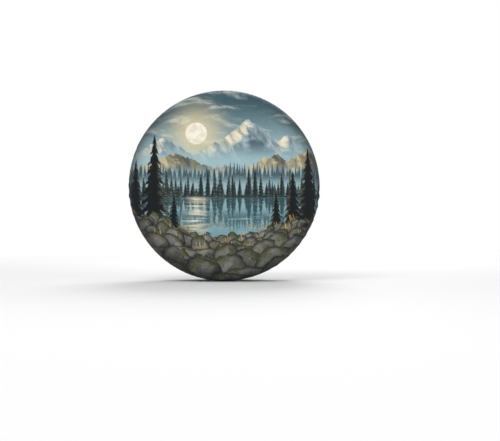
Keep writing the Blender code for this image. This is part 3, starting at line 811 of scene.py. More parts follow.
# Finishes
printSet = {
    "pitch": 0.0011,
    "soil": 0.05,
    "roughness": (0.56, 0.66),
    "specular": 0.12,
    "bump": (0.0003, 0.25),  # distance and strength
}
clothSet = {  # colour, colour of dust and of the painted highlight on fold crests, pitch of the weave, roughness, how much dust and painted crest highlight show
    "reverseCloth": ((206, 207, 204), (180, 178, 170), 0.0011, 0.70, 0.20),
    "blackPolyester": ((32, 33, 35), (84, 84, 84), 0.0011, 0.52, 0.28),
    "bindingTape": ((46, 46, 48), (98, 97, 95), 0.0016, 0.66, 0.35),
}
clothFinish = {"soil": 0.16, "specular": 0.3, "sheen": (0.04, 0.5), "bump": (0.0004, 0.45)}
braidFinish = {"soil": 0.2, "dust": 0.2, "fleck": 0.35, "roughness": (0.82, 0.58), "bump": (0.0003, 0.5)}
plainSet = {  # colour, roughness, metallic, mottling, grain, bump
    "sewingThread": ((58, 58, 60), 0.55, 0.0, 0.20, 2600.0, 0.30),
    "mouldedPlastic": ((40, 40, 42), 0.42, 0.0, 0.12, 1900.0, 0.22),
    "springSteel": ((194, 194, 196), 0.30, 1.0, 0.06, 2400.0, 0.08),
    "nickelPlate": ((212, 208, 200), 0.26, 1.0, 0.08, 1400.0, 0.10),
}


def addBump(w, shader, height, distance, strength):
    bump = w.make("ShaderNodeBump", {"Strength": strength, "Distance": distance, "Height": height})
    w.fill(shader["Normal"], bump)


def makePrintMaterial(groups):
    material, w, shader = newMaterial("printedPolyester")
    coordinates = w.node("ShaderNodeTexCoord").outputs
    weave = w.group(groups["weave"], Map=coordinates["UV"], Pitch=printSet["pitch"])
    soil = w.group(groups["soil"], Place=coordinates["Object"], Amount=printSet["soil"])
    colour = paintScenery(w, coordinates["UV"], groups)
    # painted shade in the weave's gaps, times the soil's uneven tone
    shade = w.smooth(weave["Shade"], 0.8, 1.0, 0.94, 1.0) * soil["Shade"]
    w.fill(shader["Base Color"], w.shaded(colour, shade))
    w.fill(shader["Roughness"], w.smooth(soil["Shade"], 0.9, 1.1, *printSet["roughness"]))
    shader["Specular IOR Level"].default_value = printSet["specular"]
    addBump(w, shader, weave["Height"], *printSet["bump"])
    return material


def makeClothMaterial(name, groups):
    colour, dust, pitch, roughness, dustAndHighlightShare = clothSet[name]
    material, w, shader = newMaterial(name)
    coordinates = w.node("ShaderNodeTexCoord").outputs
    weave = w.group(groups["weave"], Map=coordinates["UV"], Pitch=pitch)
    soil = w.group(groups["soil"], Place=coordinates["Object"], Amount=clothFinish["soil"])
    crest = w.node("ShaderNodeAttribute", attribute_name="crest").outputs["Fac"]
    # painted shade: darker in the weave's gaps and in fold valleys, painted light on fold crests; soil adds
    # uneven tone
    shade = weave["Shade"] * soil["Shade"] * w.smooth(crest, -0.2, 1.0, 0.82, 1.12)
    cloth = w.shaded(paint(*colour), shade)
    # dust, and a painted highlight where the folds crest
    dustAndCrestHighlight = w.high(soil["Dust"] * 0.5, w.smooth(crest, 0.7, 1.5, 0.0, 0.3)) * dustAndHighlightShare
    w.fill(shader["Base Color"], w.mix(dustAndCrestHighlight, cloth, paint(*dust)))
    w.fill(shader["Roughness"], w.smooth(weave["Height"], 0.3, 1.0, roughness + 0.12, roughness))
    shader["Specular IOR Level"].default_value = clothFinish["specular"]
    shader["Sheen Weight"].default_value, shader["Sheen Roughness"].default_value = clothFinish["sheen"]
    addBump(w, shader, weave["Height"], *clothFinish["bump"])
    return material


def makePlainMaterial(name):
    # moulded or metal surface, with fine grain and a little unevenness
    colour, roughness, metallic, mottle, grain, bump = plainSet[name]
    material, w, shader = newMaterial(name)
    place = w.node("ShaderNodeTexCoord").outputs["Object"]
    fine = w.noise(place, grain, 3, 0.6)
    broad = w.noise(place, 120.0, 3, 0.55)
    w.fill(shader["Base Color"], w.shaded(paint(*colour), 1.0 + (broad - 0.5) * (mottle * 2)))
    uneven = fine * 0.5 + broad * 0.5
    w.fill(shader["Roughness"], w.smooth(uneven, 0.3, 0.7, roughness - 0.06, roughness + 0.08))
    shader["Metallic"].default_value = metallic
    addBump(w, shader, fine, 0.0002, bump)
    return material


def makeBraidMaterial(groups):
    # braided sleeve over an elastic core; the map runs round the cord and along it
    material, w, shader = newMaterial("braidedElastic")
    coordinates = w.node("ShaderNodeTexCoord").outputs
    x, y, _ = w.split(coordinates["UV"])
    across = x * (math.tau * cordSet["strands"])
    along = y * (math.tau / cordSet["plait"])
    braid = w.calc("SINE", across + along) * w.calc("SINE", across - along)
    strand = abs(braid)
    fleck = w.smooth(braid, 0.35, 0.8)
    soil = w.group(groups["soil"], Place=coordinates["Object"], Amount=braidFinish["soil"])
    # painted shade: darker in the gaps between strands, lighter on their crowns
    colour = w.mix(strand, paint(20, 20, 22), paint(54, 54, 57))
    colour = w.mix(fleck * braidFinish["fleck"], colour, paint(112, 112, 112))
    colour = w.mix(soil["Dust"] * braidFinish["dust"], colour, paint(104, 102, 97))
    w.fill(shader["Base Color"], colour)
    w.fill(shader["Roughness"], w.smooth(strand, 0.0, 1.0, *braidFinish["roughness"]))
    addBump(w, shader, strand, *braidFinish["bump"])
    return material


# Mesh helpers
weldDistance = 1e-6


def gridFaces(rows, columns, wrapRows=False, wrapColumns=False):
    # faces of a grid of points, and the row and column of each of their corners
    faces, corners = [], []
    for i in range(rows if wrapRows else rows - 1):
        for j in range(columns if wrapColumns else columns - 1):
            square = ((i, j), (i + 1, j), (i + 1, j + 1), (i, j + 1))
            corners.extend(square)
            faces.append([a % rows * columns + b % columns for a, b in square])
    return faces, np.array(corners)


def gridUv(corners, across, along):
    # a map of the corners: across by their column and along by their row
    return np.stack([across[corners[:, 1]], along[corners[:, 0]]], axis=-1)


def capFaces(rows, columns):
    # the two ends of a tube of rings
    return [list(range(columns)), [(rows - 1) * columns + j for j in reversed(range(columns))]]


def newPiece(name, points, faces, materials, cornerUv=None, crest=None):
    mesh = bpy.data.meshes.new(name)
    mesh.from_pydata(np.asarray(points).reshape(-1, 3).tolist(), [], faces)
    if cornerUv is not None:
        full = np.zeros((len(mesh.loops), 2), np.float32)
        full[: len(cornerUv)] = cornerUv
        mesh.uv_layers.new(name="cloth").data.foreach_set("uv", full.ravel())
    if crest is not None:
        attribute = mesh.attributes.new("crest", "FLOAT", "POINT")
        attribute.data.foreach_set("value", np.asarray(crest, np.float32).ravel())
    mesh.shade_smooth()
    return addObject(name, mesh, materials)


def bake(obj):
    # the evaluated shape as a plain mesh, with no modifiers left
    graph = bpy.context.evaluated_depsgraph_get()
    mesh = bpy.data.meshes.new_from_object(obj.evaluated_get(graph))
    old = obj.data
    obj.modifiers.clear()
    obj.data = mesh
    bpy.data.meshes.remove(old)
    return obj


def thicken(obj, thickness, inside=0):
    solidify = obj.modifiers.new("cloth", "SOLIDIFY")
    solidify.thickness = thickness
    solidify.offset = -1.0
    solidify.material_offset = inside
    return bake(obj)


def combine(obj, tool, operation):
    boolean = obj.modifiers.new("combine", "BOOLEAN")
    boolean.operation = operation
    boolean.object = tool
    bake(obj)
    bpy.data.objects.remove(tool, do_unlink=True)


def drill(obj, radius, place, axis, reach=0.010, sides=32):
    profile = [(0.0, reach), (radius, reach), (radius, -reach), (0.0, -reach)]
    combine(obj, turnedPiece("drill", profile, place, axis, [], sides), "DIFFERENCE")


def roundedLoop(width, height, radius, steps=4):
    # outline of a rounded rectangle about its middle, anticlockwise
    points = []
    for quarter, (x, y) in enumerate(((1, 1), (-1, 1), (-1, -1), (1, -1))):
        for i in range(steps + 1):
            turn = math.pi / 2 * (quarter + i / steps)
            points.append((x * (width / 2 - radius) + radius * math.cos(turn),
                           y * (height / 2 - radius) + radius * math.sin(turn)))
    return np.array(points)


def sweptPiece(name, rings, materials, along, girth, joined=False):
    # a tube or strip through rings of points: a closed ring itself, or capped at its ends
    rows, columns = rings.shape[:2]
    faces, corners = gridFaces(rows, columns, joined, True)
    uv = gridUv(corners, np.linspace(0, girth, columns + 1), along)
    if not joined:
        faces += capFaces(rows, columns)
    return newPiece(name, rings, faces, materials, uv)


def tubeRings(path, radii):
    # rings square to a path; radii holds a row for each point of it
    path = np.asarray(path, float)
    tangents = np.gradient(path, axis=0)
    tangents /= np.linalg.norm(tangents, axis=1)[:, None]
    normal = np.cross(tangents[0], (0.0, 1.0, 0.0))
    turns = -np.linspace(0, math.tau, radii.shape[1], endpoint=False)
    rings = np.empty((*radii.shape, 3))
    for i, tangent in enumerate(tangents):
        normal = normal - tangent * normal.dot(tangent)
        normal /= np.linalg.norm(normal)
        other = np.cross(tangent, normal)
        spokes = np.cos(turns)[:, None] * normal + np.sin(turns)[:, None] * other
        rings[i] = path[i] + spokes * radii[i][:, None]
    return rings


def lengthsAlong(path):
    steps = np.linalg.norm(np.diff(path, axis=0), axis=1)
    return np.concatenate([[0.0], np.cumsum(steps)])


def turnedPiece(name, profile, place, axis, materials, steps=72, closed=False):
    # a profile of (radius, height) turned round an axis through place
    mesh = bpy.data.meshes.new(name)
    count = len(profile)
    edges = [(i, (i + 1) % count) for i in range(count if closed else count - 1)]
    mesh.from_pydata([(r, 0.0, h) for r, h in profile], edges, [])
    obj = addObject(name, mesh, materials)
    screw = obj.modifiers.new("turn", "SCREW")
    screw.steps = screw.render_steps = steps
    screw.use_merge_vertices = True
    screw.merge_threshold = weldDistance
    bake(obj)
    bm = bmesh.new()
    bm.from_mesh(obj.data)
    bmesh.ops.remove_doubles(bm, verts=bm.verts, dist=weldDistance)
    turn = Vector(axis).to_track_quat("Z", "Y").to_matrix().to_4x4()
    bmesh.ops.transform(bm, matrix=turn, verts=bm.verts)
    bmesh.ops.translate(bm, vec=Vector(place), verts=bm.verts)
    bmesh.ops.recalc_face_normals(bm, faces=bm.faces)
    bm.to_mesh(obj.data)
    bm.free()
    obj.data.shade_smooth()
    return obj


def boxPiece(name, place, size, materials, edge=0.0):
    bm = bmesh.new()
    bmesh.ops.create_cube(bm, size=1.0)
    bmesh.ops.scale(bm, vec=Vector(size), verts=bm.verts)
    if edge:
        bmesh.ops.bevel(bm, geom=list(bm.edges), offset=edge, segments=4, profile=0.5, affect="EDGES")
    bmesh.ops.translate(bm, vec=Vector(place), verts=bm.verts)
    mesh = bpy.data.meshes.new(name)
    bm.to_mesh(mesh)
    bm.free()
    return addObject(name, mesh, materials)


def soften(obj, voxel=0.00026, rounds=3):
    # rounds the edges of a moulded piece, as a real mould does
    materials = list(obj.data.materials)
    remesh = obj.modifiers.new("remesh", "REMESH")
    remesh.mode = "VOXEL"
    remesh.voxel_size = voxel
    smooth = obj.modifiers.new("smooth", "SMOOTH")
    smooth.factor = 0.5
    smooth.iterations = rounds
    bake(obj)
    obj.data.materials.clear()
    for material in materials:
        obj.data.materials.append(material)
    obj.data.shade_smooth()
    return obj


def settle(obj, body, slot, *nodes):
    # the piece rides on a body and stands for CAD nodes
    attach(obj, body)
    if nodes:
        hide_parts(*nodes)
    return obj


# Seams: how an edge turns in (short of the edge, depth), and the steps beside a cross seam
seamSet = {
    "gap": 0.0001,
    "crossGap": 0.00001,
    "turn": ((0.0006, 0.0), (0.00018, 0.00018), (0.0, 0.0006), (0.0, 0.0022), (0.0, 0.0048), (0.0, 0.0078)),
    "steps": (0.0, 0.0005, 0.0011, 0.0018, 0.0026, 0.0036, 0.0050),
    "allowance": 0.008,  # cloth past a seam, before it was sewn
}


def turnedRows(lengths, turnStart, turnEnd):
    # lengths of a sheet and how deep each lies, with its edges turned in
    short, depth = np.array(seamSet["turn"]).T
    depths = np.zeros(len(lengths))
    if turnStart:
        lengths = np.concatenate([(lengths[0] + short)[::-1], lengths[1:]])
        depths = np.concatenate([depth[::-1], depths[1:]])
    if turnEnd:
        lengths = np.concatenate([lengths[:-1], lengths[-1] - short])
        depths = np.concatenate([depths[:-1], depth])
    return lengths, depths


def halfTurn(start, columns, radius):
    # angles of half the cover, closer together beside the cross seams
    steps = np.array(seamSet["steps"]) / radius
    gap = seamSet["crossGap"] / 2 / radius
    first = start + gap + steps
    last = start + math.pi - gap - steps[::-1]
    return np.concatenate([first[:-1], np.linspace(first[-1], last[0], columns), last[1:]])


def flatLengths(lengths, depths):
    # distances over a sheet laid flat, with its turned edges
    steps = np.hypot(np.diff(lengths), np.diff(depths))
    return lengths[0] + np.concatenate([[0.0], np.cumsum(steps)])


def clothSheet(name, lengths, angles, materials, thickness, turnStart, turnEnd):
    # a sheet of the cover between two lengths of its section and two angles
    lengths, depths = turnedRows(lengths, turnStart, turnEnd)
    lengthGrid, angleGrid = np.meshgrid(lengths, angles, indexing="ij")
    points = clothPoint(lengthGrid, angleGrid, -depths[:, None])
    crest = np.clip(clothLift(lengthGrid, angleGrid) / relief["foldHeight"], -1.0, 1.5)
    faces, corners = gridFaces(len(lengths), len(angles))
    uv = gridUv(corners, angles * coverRadius, flatLengths(lengths, depths))
    return thicken(newPiece(name, points, faces, materials, uv, crest), thickness)


# Printed face
faceSet = {"cloth": 0.0008, "rings": 26, "rollRings": 26, "ringMargin": 0.012, "sectors": 720}


def makePrintedFace(materials):
    margin, sectors = faceSet["ringMargin"], faceSet["sectors"]
    flat = np.linspace(margin, flatRadius - margin, faceSet["rings"])
    roll = np.linspace(flatRadius, faceSeamAt - seamSet["gap"] / 2, faceSet["rollRings"])
    lengths, depths = turnedRows(np.concatenate([flat, roll]), False, True)
    angles = np.linspace(0, math.tau, sectors, endpoint=False)
    points = clothPoint(lengths[:, None], angles[None, :], -depths[:, None]).reshape(-1, 3)
    faces, _ = gridFaces(len(lengths), sectors, False, True)
    faces += [(len(points), j, (j + 1) % sectors) for j in range(sectors)]
    points = np.vstack([points, [[0.0, faceY, 0.0]]])
    corners = np.concatenate([np.asarray(face) for face in faces])
    reach = flatLengths(lengths, depths)[:, None]
    cut = np.stack([reach * np.cos(angles), reach * np.sin(angles)], axis=-1).reshape(-1, 2)
    cut = np.vstack([cut, [[0.0, 0.0]]])  # the print lies on the cloth as it was cut, flat
    face = newPiece("printedFace", points, faces, materials, cut[corners])
    return thicken(face, faceSet["cloth"], 1)


# Side band, in two strips, with a drain hole in each
bandSet = {"cloth": 0.0008, "rows": 64, "columns": 440, "drainHole": 0.0049}


def outwards(angle):
    return Vector((math.cos(angle), 0.0, math.sin(angle)))


def makeBand(name, start, eyelet, materials):
    gap = seamSet["gap"] / 2
    lengths = np.linspace(faceSeamAt + gap, skirtSeamAt - gap, bandSet["rows"])
    angles = halfTurn(start, bandSet["columns"], coverRadius)
    band = clothSheet(name, lengths, angles, materials, bandSet["cloth"], True, True)
    drill(band, bandSet["drainHole"], outwards(eyelet) * coverRadius, outwards(eyelet))
    return band


# Rear skirt, gathered in to the hem
skirtSet = {"cloth": 0.0008, "rows": 46, "columns": 760, "tuck": 0.002}


def makeSkirt(name, start, materials):
    lengths = np.linspace(skirtSeamAt + seamSet["gap"] / 2, hemAt + skirtSet["tuck"], skirtSet["rows"])
    angles = halfTurn(start, skirtSet["columns"], returnRadius)
    return clothSheet(name, lengths, angles, materials, skirtSet["cloth"], True, False)


# Hem casing: a tunnel that the elastic draws into small puckers
casingSet = {
    "width": 0.014,
    "depth": 0.010,
    "girth": 0.038,
    "mouth": 0.036,
    "cordRing": 0.3035,  # radius at which the cord runs in it
    "cloth": 0.0007,
    "puckers": 188,
    "pucker": 0.0016,
    "puckerDrift": 2.2,  # how unevenly they are spaced
    "puckerLean": 1.2,
    "puckerSharpness": 1.5,
    "puckerSize": (0.65, 0.45),  # mean and spread
    "innerShare": 0.35,  # of the height, on the inner side
    "follow": 0.45,  # share of the gathers' height that the casing rides on
    "sides": 24,
    "columns": 1316,
}
casingRadius = hemRadius - restGap - casingSet["width"] / 2
casingY = (casingLow.y + casingHigh.y) / 2
halfMouth = math.asin(casingSet["mouth"] / 2 / casingSet["cordRing"])


def casingAngles(count):
    # from one side of the mouth all the way round to the other
    return np.linspace(bottom + halfMouth, bottom + math.tau - halfMouth, count)


def casingRide(angle):
    wave = (0.5 - 0.5 * np.cos(foldPhase(angle))) * foldSize(angle)
    return casingSet["follow"] * relief["foldAtHem"] * gatherGrowth(angle) * wave


def makeCasing(materials):
    angles = casingAngles(casingSet["columns"])
    turns = -np.linspace(0, math.tau, casingSet["sides"], endpoint=False)  # 0 is the outer side
    angle, turn = np.meshgrid(angles, turns, indexing="ij")
    phase = casingSet["puckers"] * angle + casingSet["puckerDrift"] * ripple(angle, (5, 11, 17), 41)
    phase = phase + casingSet["puckerLean"] * np.sin(turn)
    ridge = (0.5 + 0.5 * np.cos(phase)) ** casingSet["puckerSharpness"]
    mean, spread = casingSet["puckerSize"]
    inner = casingSet["innerShare"]
    size = mean + spread * ripple(angle, (23, 37, 61), 42)
    bump = casingSet["pucker"] * ridge * size * (inner + (1 - inner) / 2 * (1 + np.cos(turn)))
    r = casingRadius + (casingSet["width"] / 2 + bump) * np.cos(turn)
    y = casingY + casingRide(angle) + (casingSet["depth"] / 2 + bump) * np.sin(turn)
    faces, corners = gridFaces(len(angles), len(turns), False, True)
    around = np.linspace(0, casingSet["girth"], len(turns) + 1)
    uv = gridUv(corners, around, angles * coverRadius)[:, ::-1]
    crest = bump / casingSet["pucker"]
    casing = newPiece("hemCasing", roundPoint(r, y, angle), faces, materials, uv, crest)
    return thicken(casing, casingSet["cloth"])


# Bindings and tapes that cover the seams inside
bindingSet = {"thickness": 0.0020, "under": 0.0015, "round": 0.0007, "girth": 0.024, "steps": 360}
tapeSet = {"round": 0.45, "girth": 0.034, "steps": 72}
tapeWave = 0.00025  # how far both wander from a straight line


def makeBinding(name, node, seed, materials):
    low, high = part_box(node)
    outer = coverRadius - bindingSet["under"]
    loop = roundedLoop(bindingSet["thickness"], high.y - low.y, bindingSet["round"])[::-1]
    angles = np.linspace(0, math.tau, bindingSet["steps"], endpoint=False)[:, None]
    wave = tapeWave * ripple(angles, (31, 47, 83), seed)
    r = outer - bindingSet["thickness"] / 2 + loop[:, 0] - np.abs(wave)
    rings = roundPoint(r, (low.y + high.y) / 2 + loop[:, 1] + wave, angles)
    along = np.linspace(0, math.tau * outer, len(angles) + 1)
    return sweptPiece(name, rings, materials, along, bindingSet["girth"], True)


def makeSeamTape(name, node, seed, materials):
    low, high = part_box(node)
    middle, size = (low + high) / 2, high - low
    loop = roundedLoop(size.x, size.z, size.z * tapeSet["round"])
    ys = np.linspace(low.y, high.y, tapeSet["steps"])
    x = middle.x + loop[:, 0] + tapeWave * ripple(ys * 40, (1, 2, 3), seed)[:, None]
    rings = stackPoints(x, ys[:, None], middle.z + loop[:, 1])
    return sweptPiece(name, rings, materials, ys, tapeSet["girth"])


# Patch under the cord lock
patchSet = {
    "corner": 0.006,
    "smallestCorner": 0.0006,
    "cloth": 0.0012,
    "edge": 0.0011,  # how far in the turned edge is round
    "stitchInset": 0.003,
    "groove": (0.0005, 0.0009),  # depth and width, along the stitching
    "crown": (0.0001, 0.012),  # height, and how far in it is reached
    "lift": 0.0001,
    "insets": (0.0, 0.0004, 0.0011, 0.0020, 0.0030, 0.0040, 0.0060, 0.0090, 0.0120, 0.0150),
}


def patchLoop(inset, lift, steps=6):
    width, height = patchHigh.x - patchLow.x, patchHigh.z - patchLow.z
    corner = max(patchSet["corner"] - inset, patchSet["smallestCorner"])
    loop = roundedLoop(width - 2 * inset, height - 2 * inset, corner, steps)
    grooveDepth, grooveWidth = patchSet["groove"]
    crown, crownReach = patchSet["crown"]
    y = patchLow.y + lift + patchSet["cloth"] * math.sqrt(min(inset / patchSet["edge"], 1.0))
    y = y + crown * min(inset / crownReach, 1.0)
    y = y - grooveDepth * bell(inset - patchSet["stitchInset"], grooveWidth)
    return stackPoints(loop[:, 0], y, (patchLow.z + patchHigh.z) / 2 + loop[:, 1])


def makePatch(materials):
    rings = [patchLoop(0.0, 0.0)] + [patchLoop(inset, patchSet["lift"]) for inset in patchSet["insets"]]
    rows, columns = len(rings), len(rings[0])
    faces = gridFaces(rows, columns, False, True)[0] + capFaces(rows, columns)
    points = np.concatenate(rings)
    corners = np.concatenate([np.asarray(face) for face in faces])
    return newPiece("cordExitPatch", points, faces, materials, points[corners][:, [0, 2]])


# Draw cord: up one tail, round the casing and down the other
cordSet = {
    "diameter": 0.004,
    "pitch": 0.0056,
    "bend": 0.025,
    "bendSteps": 28,
    "tailStep": 0.0006,
    "ringSteps": 420,
    "strands": 6,
    "plait": 0.0052,
    "relief": 0.00016,
    "sides": 24,
}
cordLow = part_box("draw_cord")[0]
lockLow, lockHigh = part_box("cord_lock_barrel")
lockY = (lockLow.y + lockHigh.y) / 2
lockZ = (lockLow.z + lockHigh.z) / 2


def cordTail(side):
    ring = casingSet["cordRing"]
    mouthX, mouthZ = side * casingSet["mouth"] / 2, -ring * math.cos(halfMouth)
    tailX, tailZ = side * cordSet["pitch"] / 2, -ring - cordSet["bend"]
    points = []
    for i in range(1, cordSet["bendSteps"] + 1):
        share = i / cordSet["bendSteps"]
        points.append((tailX + (mouthX - tailX) * (1 - math.sin(share * math.pi / 2)),
                       casingY + (lockY - casingY) * float(smoothStep(share)),
                       mouthZ + (tailZ - mouthZ) * (1 - math.cos(share * math.pi / 2))))
    for z in np.arange(tailZ - cordSet["tailStep"], cordLow.z, -cordSet["tailStep"]):
        points.append((tailX, lockY, z))
    return np.array(points)


def makeCord(materials):
    angles = casingAngles(cordSet["ringSteps"])
    ring = roundPoint(casingSet["cordRing"], casingY + casingRide(angles), angles)
    path = np.concatenate([cordTail(1)[::-1], ring, cordTail(-1)])
    along = lengthsAlong(path)
    across = np.linspace(0, 1, cordSet["sides"], endpoint=False) * math.tau * cordSet["strands"]
    steps = along[:, None] * math.tau / cordSet["plait"]
    strands = np.abs(np.sin(across + steps) * np.sin(across - steps))
    radii = cordSet["diameter"] / 2 + cordSet["relief"] * (strands - 0.5)
    return sweptPiece("drawCord", tubeRings(path, radii), materials, along, 1.0)


# Cord lock: barrel, button and spring, on an axis along X
lockSet = {
    "radius": 0.0065,
    "bore": 0.0050,
    "end": 0.0018,  # thickness of the closed end
    "endRound": 0.0018,
    "rimRound": 0.0008,
    "chamfer": 0.0004,
    "slotHalf": 0.0054,
    "slotHeight": 0.0046,
    "slotReach": 0.03,
    "grooves": (-0.0128, -0.0112, -0.0096),
    "grooveDepth": 0.0005,
    "grooveHalf": (0.0005, 0.0002),  # at the surface and at the bottom
    "plunger": 0.0047,
    "plungerSlot": (-0.0051, 0.0086),
    "buttonDish": ((0.0, -0.0002), (0.0020, -0.0002), (0.0023, 0.0), (0.0030, -0.0001)),
    "buttonRound": 0.0012,
    "buttonDrop": 0.0013,
    "spring": (0.00415, 0.0005, 4),  # radius of the coil, wire, turns
    "springSteps": 28,  # for each turn
    "springSides": 10,
    "steps": 96,
}
buttonLow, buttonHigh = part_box("cord_lock_plunger")
springLow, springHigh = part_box("cord_lock_spring")


def cornerArc(centreR, centreH, radius, start, end, steps=6):
    turns = [start + (end - start) * i / steps for i in range(steps + 1)]
    return [(centreR + radius * math.cos(t), centreH + radius * math.sin(t)) for t in turns]


def lockPiece(name, profile, slotLow, slotHigh, materials):
    # a turned piece on the lock's axis, with a slot for the cords
    piece = turnedPiece(name, profile, (0.0, lockY, lockZ), (1, 0, 0), materials, lockSet["steps"])
    size = (slotHigh - slotLow, lockSet["slotHeight"], lockSet["slotReach"])
    combine(piece, boxPiece("slot", ((slotLow + slotHigh) / 2, lockY, lockZ), size, []), "DIFFERENCE")
    return soften(piece)


def makeLockBarrel(materials):
    radius, bore, chamfer = lockSet["radius"], lockSet["bore"], lockSet["chamfer"]
    rim, back = lockHigh.x, lockLow.x
    inside = back + lockSet["end"]
    profile = [(0.0, inside), (bore, inside), (bore, rim - chamfer), (bore + chamfer, rim)]
    corner = lockSet["rimRound"]
    profile += cornerArc(radius - corner, rim - corner, corner, math.pi / 2, 0)
    wide, narrow = lockSet["grooveHalf"]
    floor = radius - lockSet["grooveDepth"]
    for groove in reversed(lockSet["grooves"]):
        profile += [(radius, groove + wide), (floor, groove + narrow),
                    (floor, groove - narrow), (radius, groove - wide)]
    corner = lockSet["endRound"]
    profile += cornerArc(radius - corner, back + corner, corner, 0, -math.pi / 2)
    profile.append((0.0, back))
    return lockPiece("cordLockBarrel", profile, -lockSet["slotHalf"], lockSet["slotHalf"], materials)


def makeLockButton(materials):
    radius, corner, chamfer = lockSet["plunger"], lockSet["buttonRound"], lockSet["chamfer"]
    top, end = buttonHigh.x, buttonLow.x
    profile = [(r, top + drop) for r, drop in lockSet["buttonDish"]]
    profile += cornerArc(radius - corner, top - lockSet["buttonDrop"], corner, math.pi / 2, 0)
    profile += [(radius, end + chamfer), (radius - chamfer, end), (0.0, end)]
    return lockPiece("cordLockButton", profile, *lockSet["plungerSlot"], materials)


def makeLockSpring(materials):
    coil, wire, turns = lockSet["spring"]
    angles = np.linspace(0, math.tau * turns, lockSet["springSteps"] * turns + 1)
    xs = np.linspace(springLow.x + wire, springHigh.x - wire, len(angles))
    path = stackPoints(xs, lockY + coil * np.cos(angles), lockZ + coil * np.sin(angles))
    radii = np.full((len(path), lockSet["springSides"]), wire / 2)
    rings = tubeRings(path, radii)
    return sweptPiece("cordLockSpring", rings, materials, lengthsAlong(path), math.pi * wire)


# Clip on the ends of the cord
clipSet = {
    "edge": 0.0016,
    "inset": (0.0008, 0.0010, 0.0),  # body inside its ribs
    "socket": 0.0023,
    "ribs": 4,
    "rib": 0.0010,
    "ribEdge": 0.0004,
    "ribPitch": 0.0022,
    "firstRib": 0.0032,
}
clipLow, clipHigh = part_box("cord_end_clip")


def makeClip(materials):
    size = clipHigh - clipLow
    middle = (clipLow + clipHigh) / 2
    clip = boxPiece("cordEndClip", middle, size - Vector(clipSet["inset"]), materials, clipSet["edge"])
    for i in range(clipSet["ribs"]):
        place = (middle.x, middle.y, clipLow.z + clipSet["firstRib"] + i * clipSet["ribPitch"])
        rib = boxPiece("rib", place, (size.x, size.y, clipSet["rib"]), [], clipSet["ribEdge"])
        combine(clip, rib, "UNION")
    for side in (-1, 1):
        drill(clip, clipSet["socket"], (side * cordSet["pitch"] / 2, lockY, clipHigh.z), (0, 0, 1))
    return soften(clip)


# Drain eyelets and their washers
eyeletSet = {
    "place": coverRadius * math.cos(math.radians(2.5)),
    "bore": 0.0040,
    "wall": 0.0006,
    "flange": 0.0090,
    "top": 0.0012,
    "under": 0.0003,
    "lip": 0.00625,
    "lipTop": -0.0026,
    "lipLow": -0.0032,
    "bead": 0.0008,  # roundings: the bore's rim, the flange and the lip
    "flangeRound": 0.0006,
    "lipRound": 0.0003,
    "flangeMiddle": 0.0006,
    "washer": (0.0049, 0.0080, -0.0023, -0.0015),  # inner and outer radius, low and high
    "washerRound": 0.0003,
    "washerSteps": 3,
    "steps": 64,
}


def eyeletPiece(name, profile, angle, materials):
    place = outwards(angle) * eyeletSet["place"]
    return turnedPiece(name, profile, place, outwards(angle), materials, eyeletSet["steps"], True)


def makeEyelet(name, angle, materials):
    s = eyeletSet
    bead, edge, lip = s["bead"], s["flangeRound"], s["lipRound"]
    tube = s["bore"] + s["wall"]
    profile = cornerArc(s["bore"] + bead, s["top"] - bead, bead, math.pi, math.pi / 2)
    profile += cornerArc(s["flange"] - edge, s["flangeMiddle"], edge, math.pi / 2, -math.pi / 6)
    profile += [(s["flange"] - edge, s["under"]), (tube, s["under"]), (tube, s["lipTop"])]
    profile += cornerArc(s["lip"] - lip, (s["lipTop"] + s["lipLow"]) / 2, lip, math.pi / 2, -math.pi / 2)
    profile += cornerArc(s["bore"] + edge, s["lipLow"] + edge, edge, -math.pi / 2, -math.pi)
    return eyeletPiece(name, profile, angle, materials)


def makeWasher(name, angle, materials):
    inner, outer, low, high = eyeletSet["washer"]
    loop = roundedLoop(outer - inner, high - low, eyeletSet["washerRound"], eyeletSet["washerSteps"])
    profile = [((inner + outer) / 2 + x, (low + high) / 2 + y) for x, y in loop]
    return eyeletPiece(name, profile, angle, materials)


# Stitches, laid along rows by geometry nodes
stitchSet = {
    "Pitch": 0.0042,
    "Stitch Length": 0.0033,
    "Thread": 0.00075,
    "row": 0.0042,  # from the seam
    "lift": 0.00005,
    "endGap": 0.006,  # cross rows stop short of the other seams
    "hemGap": 0.008,
    "hemRow": 0.0045,
    "bindingRow": 0.0022,
    "tapeRow": 0.0055,
    "tapeGap": 0.003,
    "roundSteps": 2400,  # points that the rows are drawn through
    "bandSteps": 220,
    "skirtSteps": 120,
    "bindingSteps": 1200,
    "tapeSteps": 80,
    "patchSteps": 12,
}


def makeStitchTree():
    sockets = {"Geometry": "Geometry", "Pitch": 0, "Stitch Length": 0, "Thread": 0,
               "Thread Material": "Material"}
    tree, w, given, end = newTree("sewnStitches", sockets, ("Geometry",), "Geometry", "Geometry")
    rows, pitch, length, thread, material = given
    curve = w.make("GeometryNodeMeshToCurve", {"Mesh": rows})
    spaced = w.make("GeometryNodeResampleCurve", {"Curve": curve, "Length": pitch}, mode="LENGTH")
    bead = w.make("GeometryNodeMeshUVSphere", {"Segments": 6, "Rings": 4, "Radius": 0.5})
    along = w.make("GeometryNodeInputTangent", {})
    turn = w.make("FunctionNodeAlignRotationToVector", {"Vector": along}, axis="Z")
    size = w.join(thread, thread, length)
    sewn = w.make("GeometryNodeInstanceOnPoints",
                  {"Points": spaced, "Instance": bead, "Rotation": turn, "Scale": size})
    real = w.make("GeometryNodeRealizeInstances", {0: sewn})
    soft = w.make("GeometryNodeSetShadeSmooth", {0: real})
    w.fill(end[0], w.make("GeometryNodeSetMaterial", {"Geometry": soft, "Material": material}))
    return tree


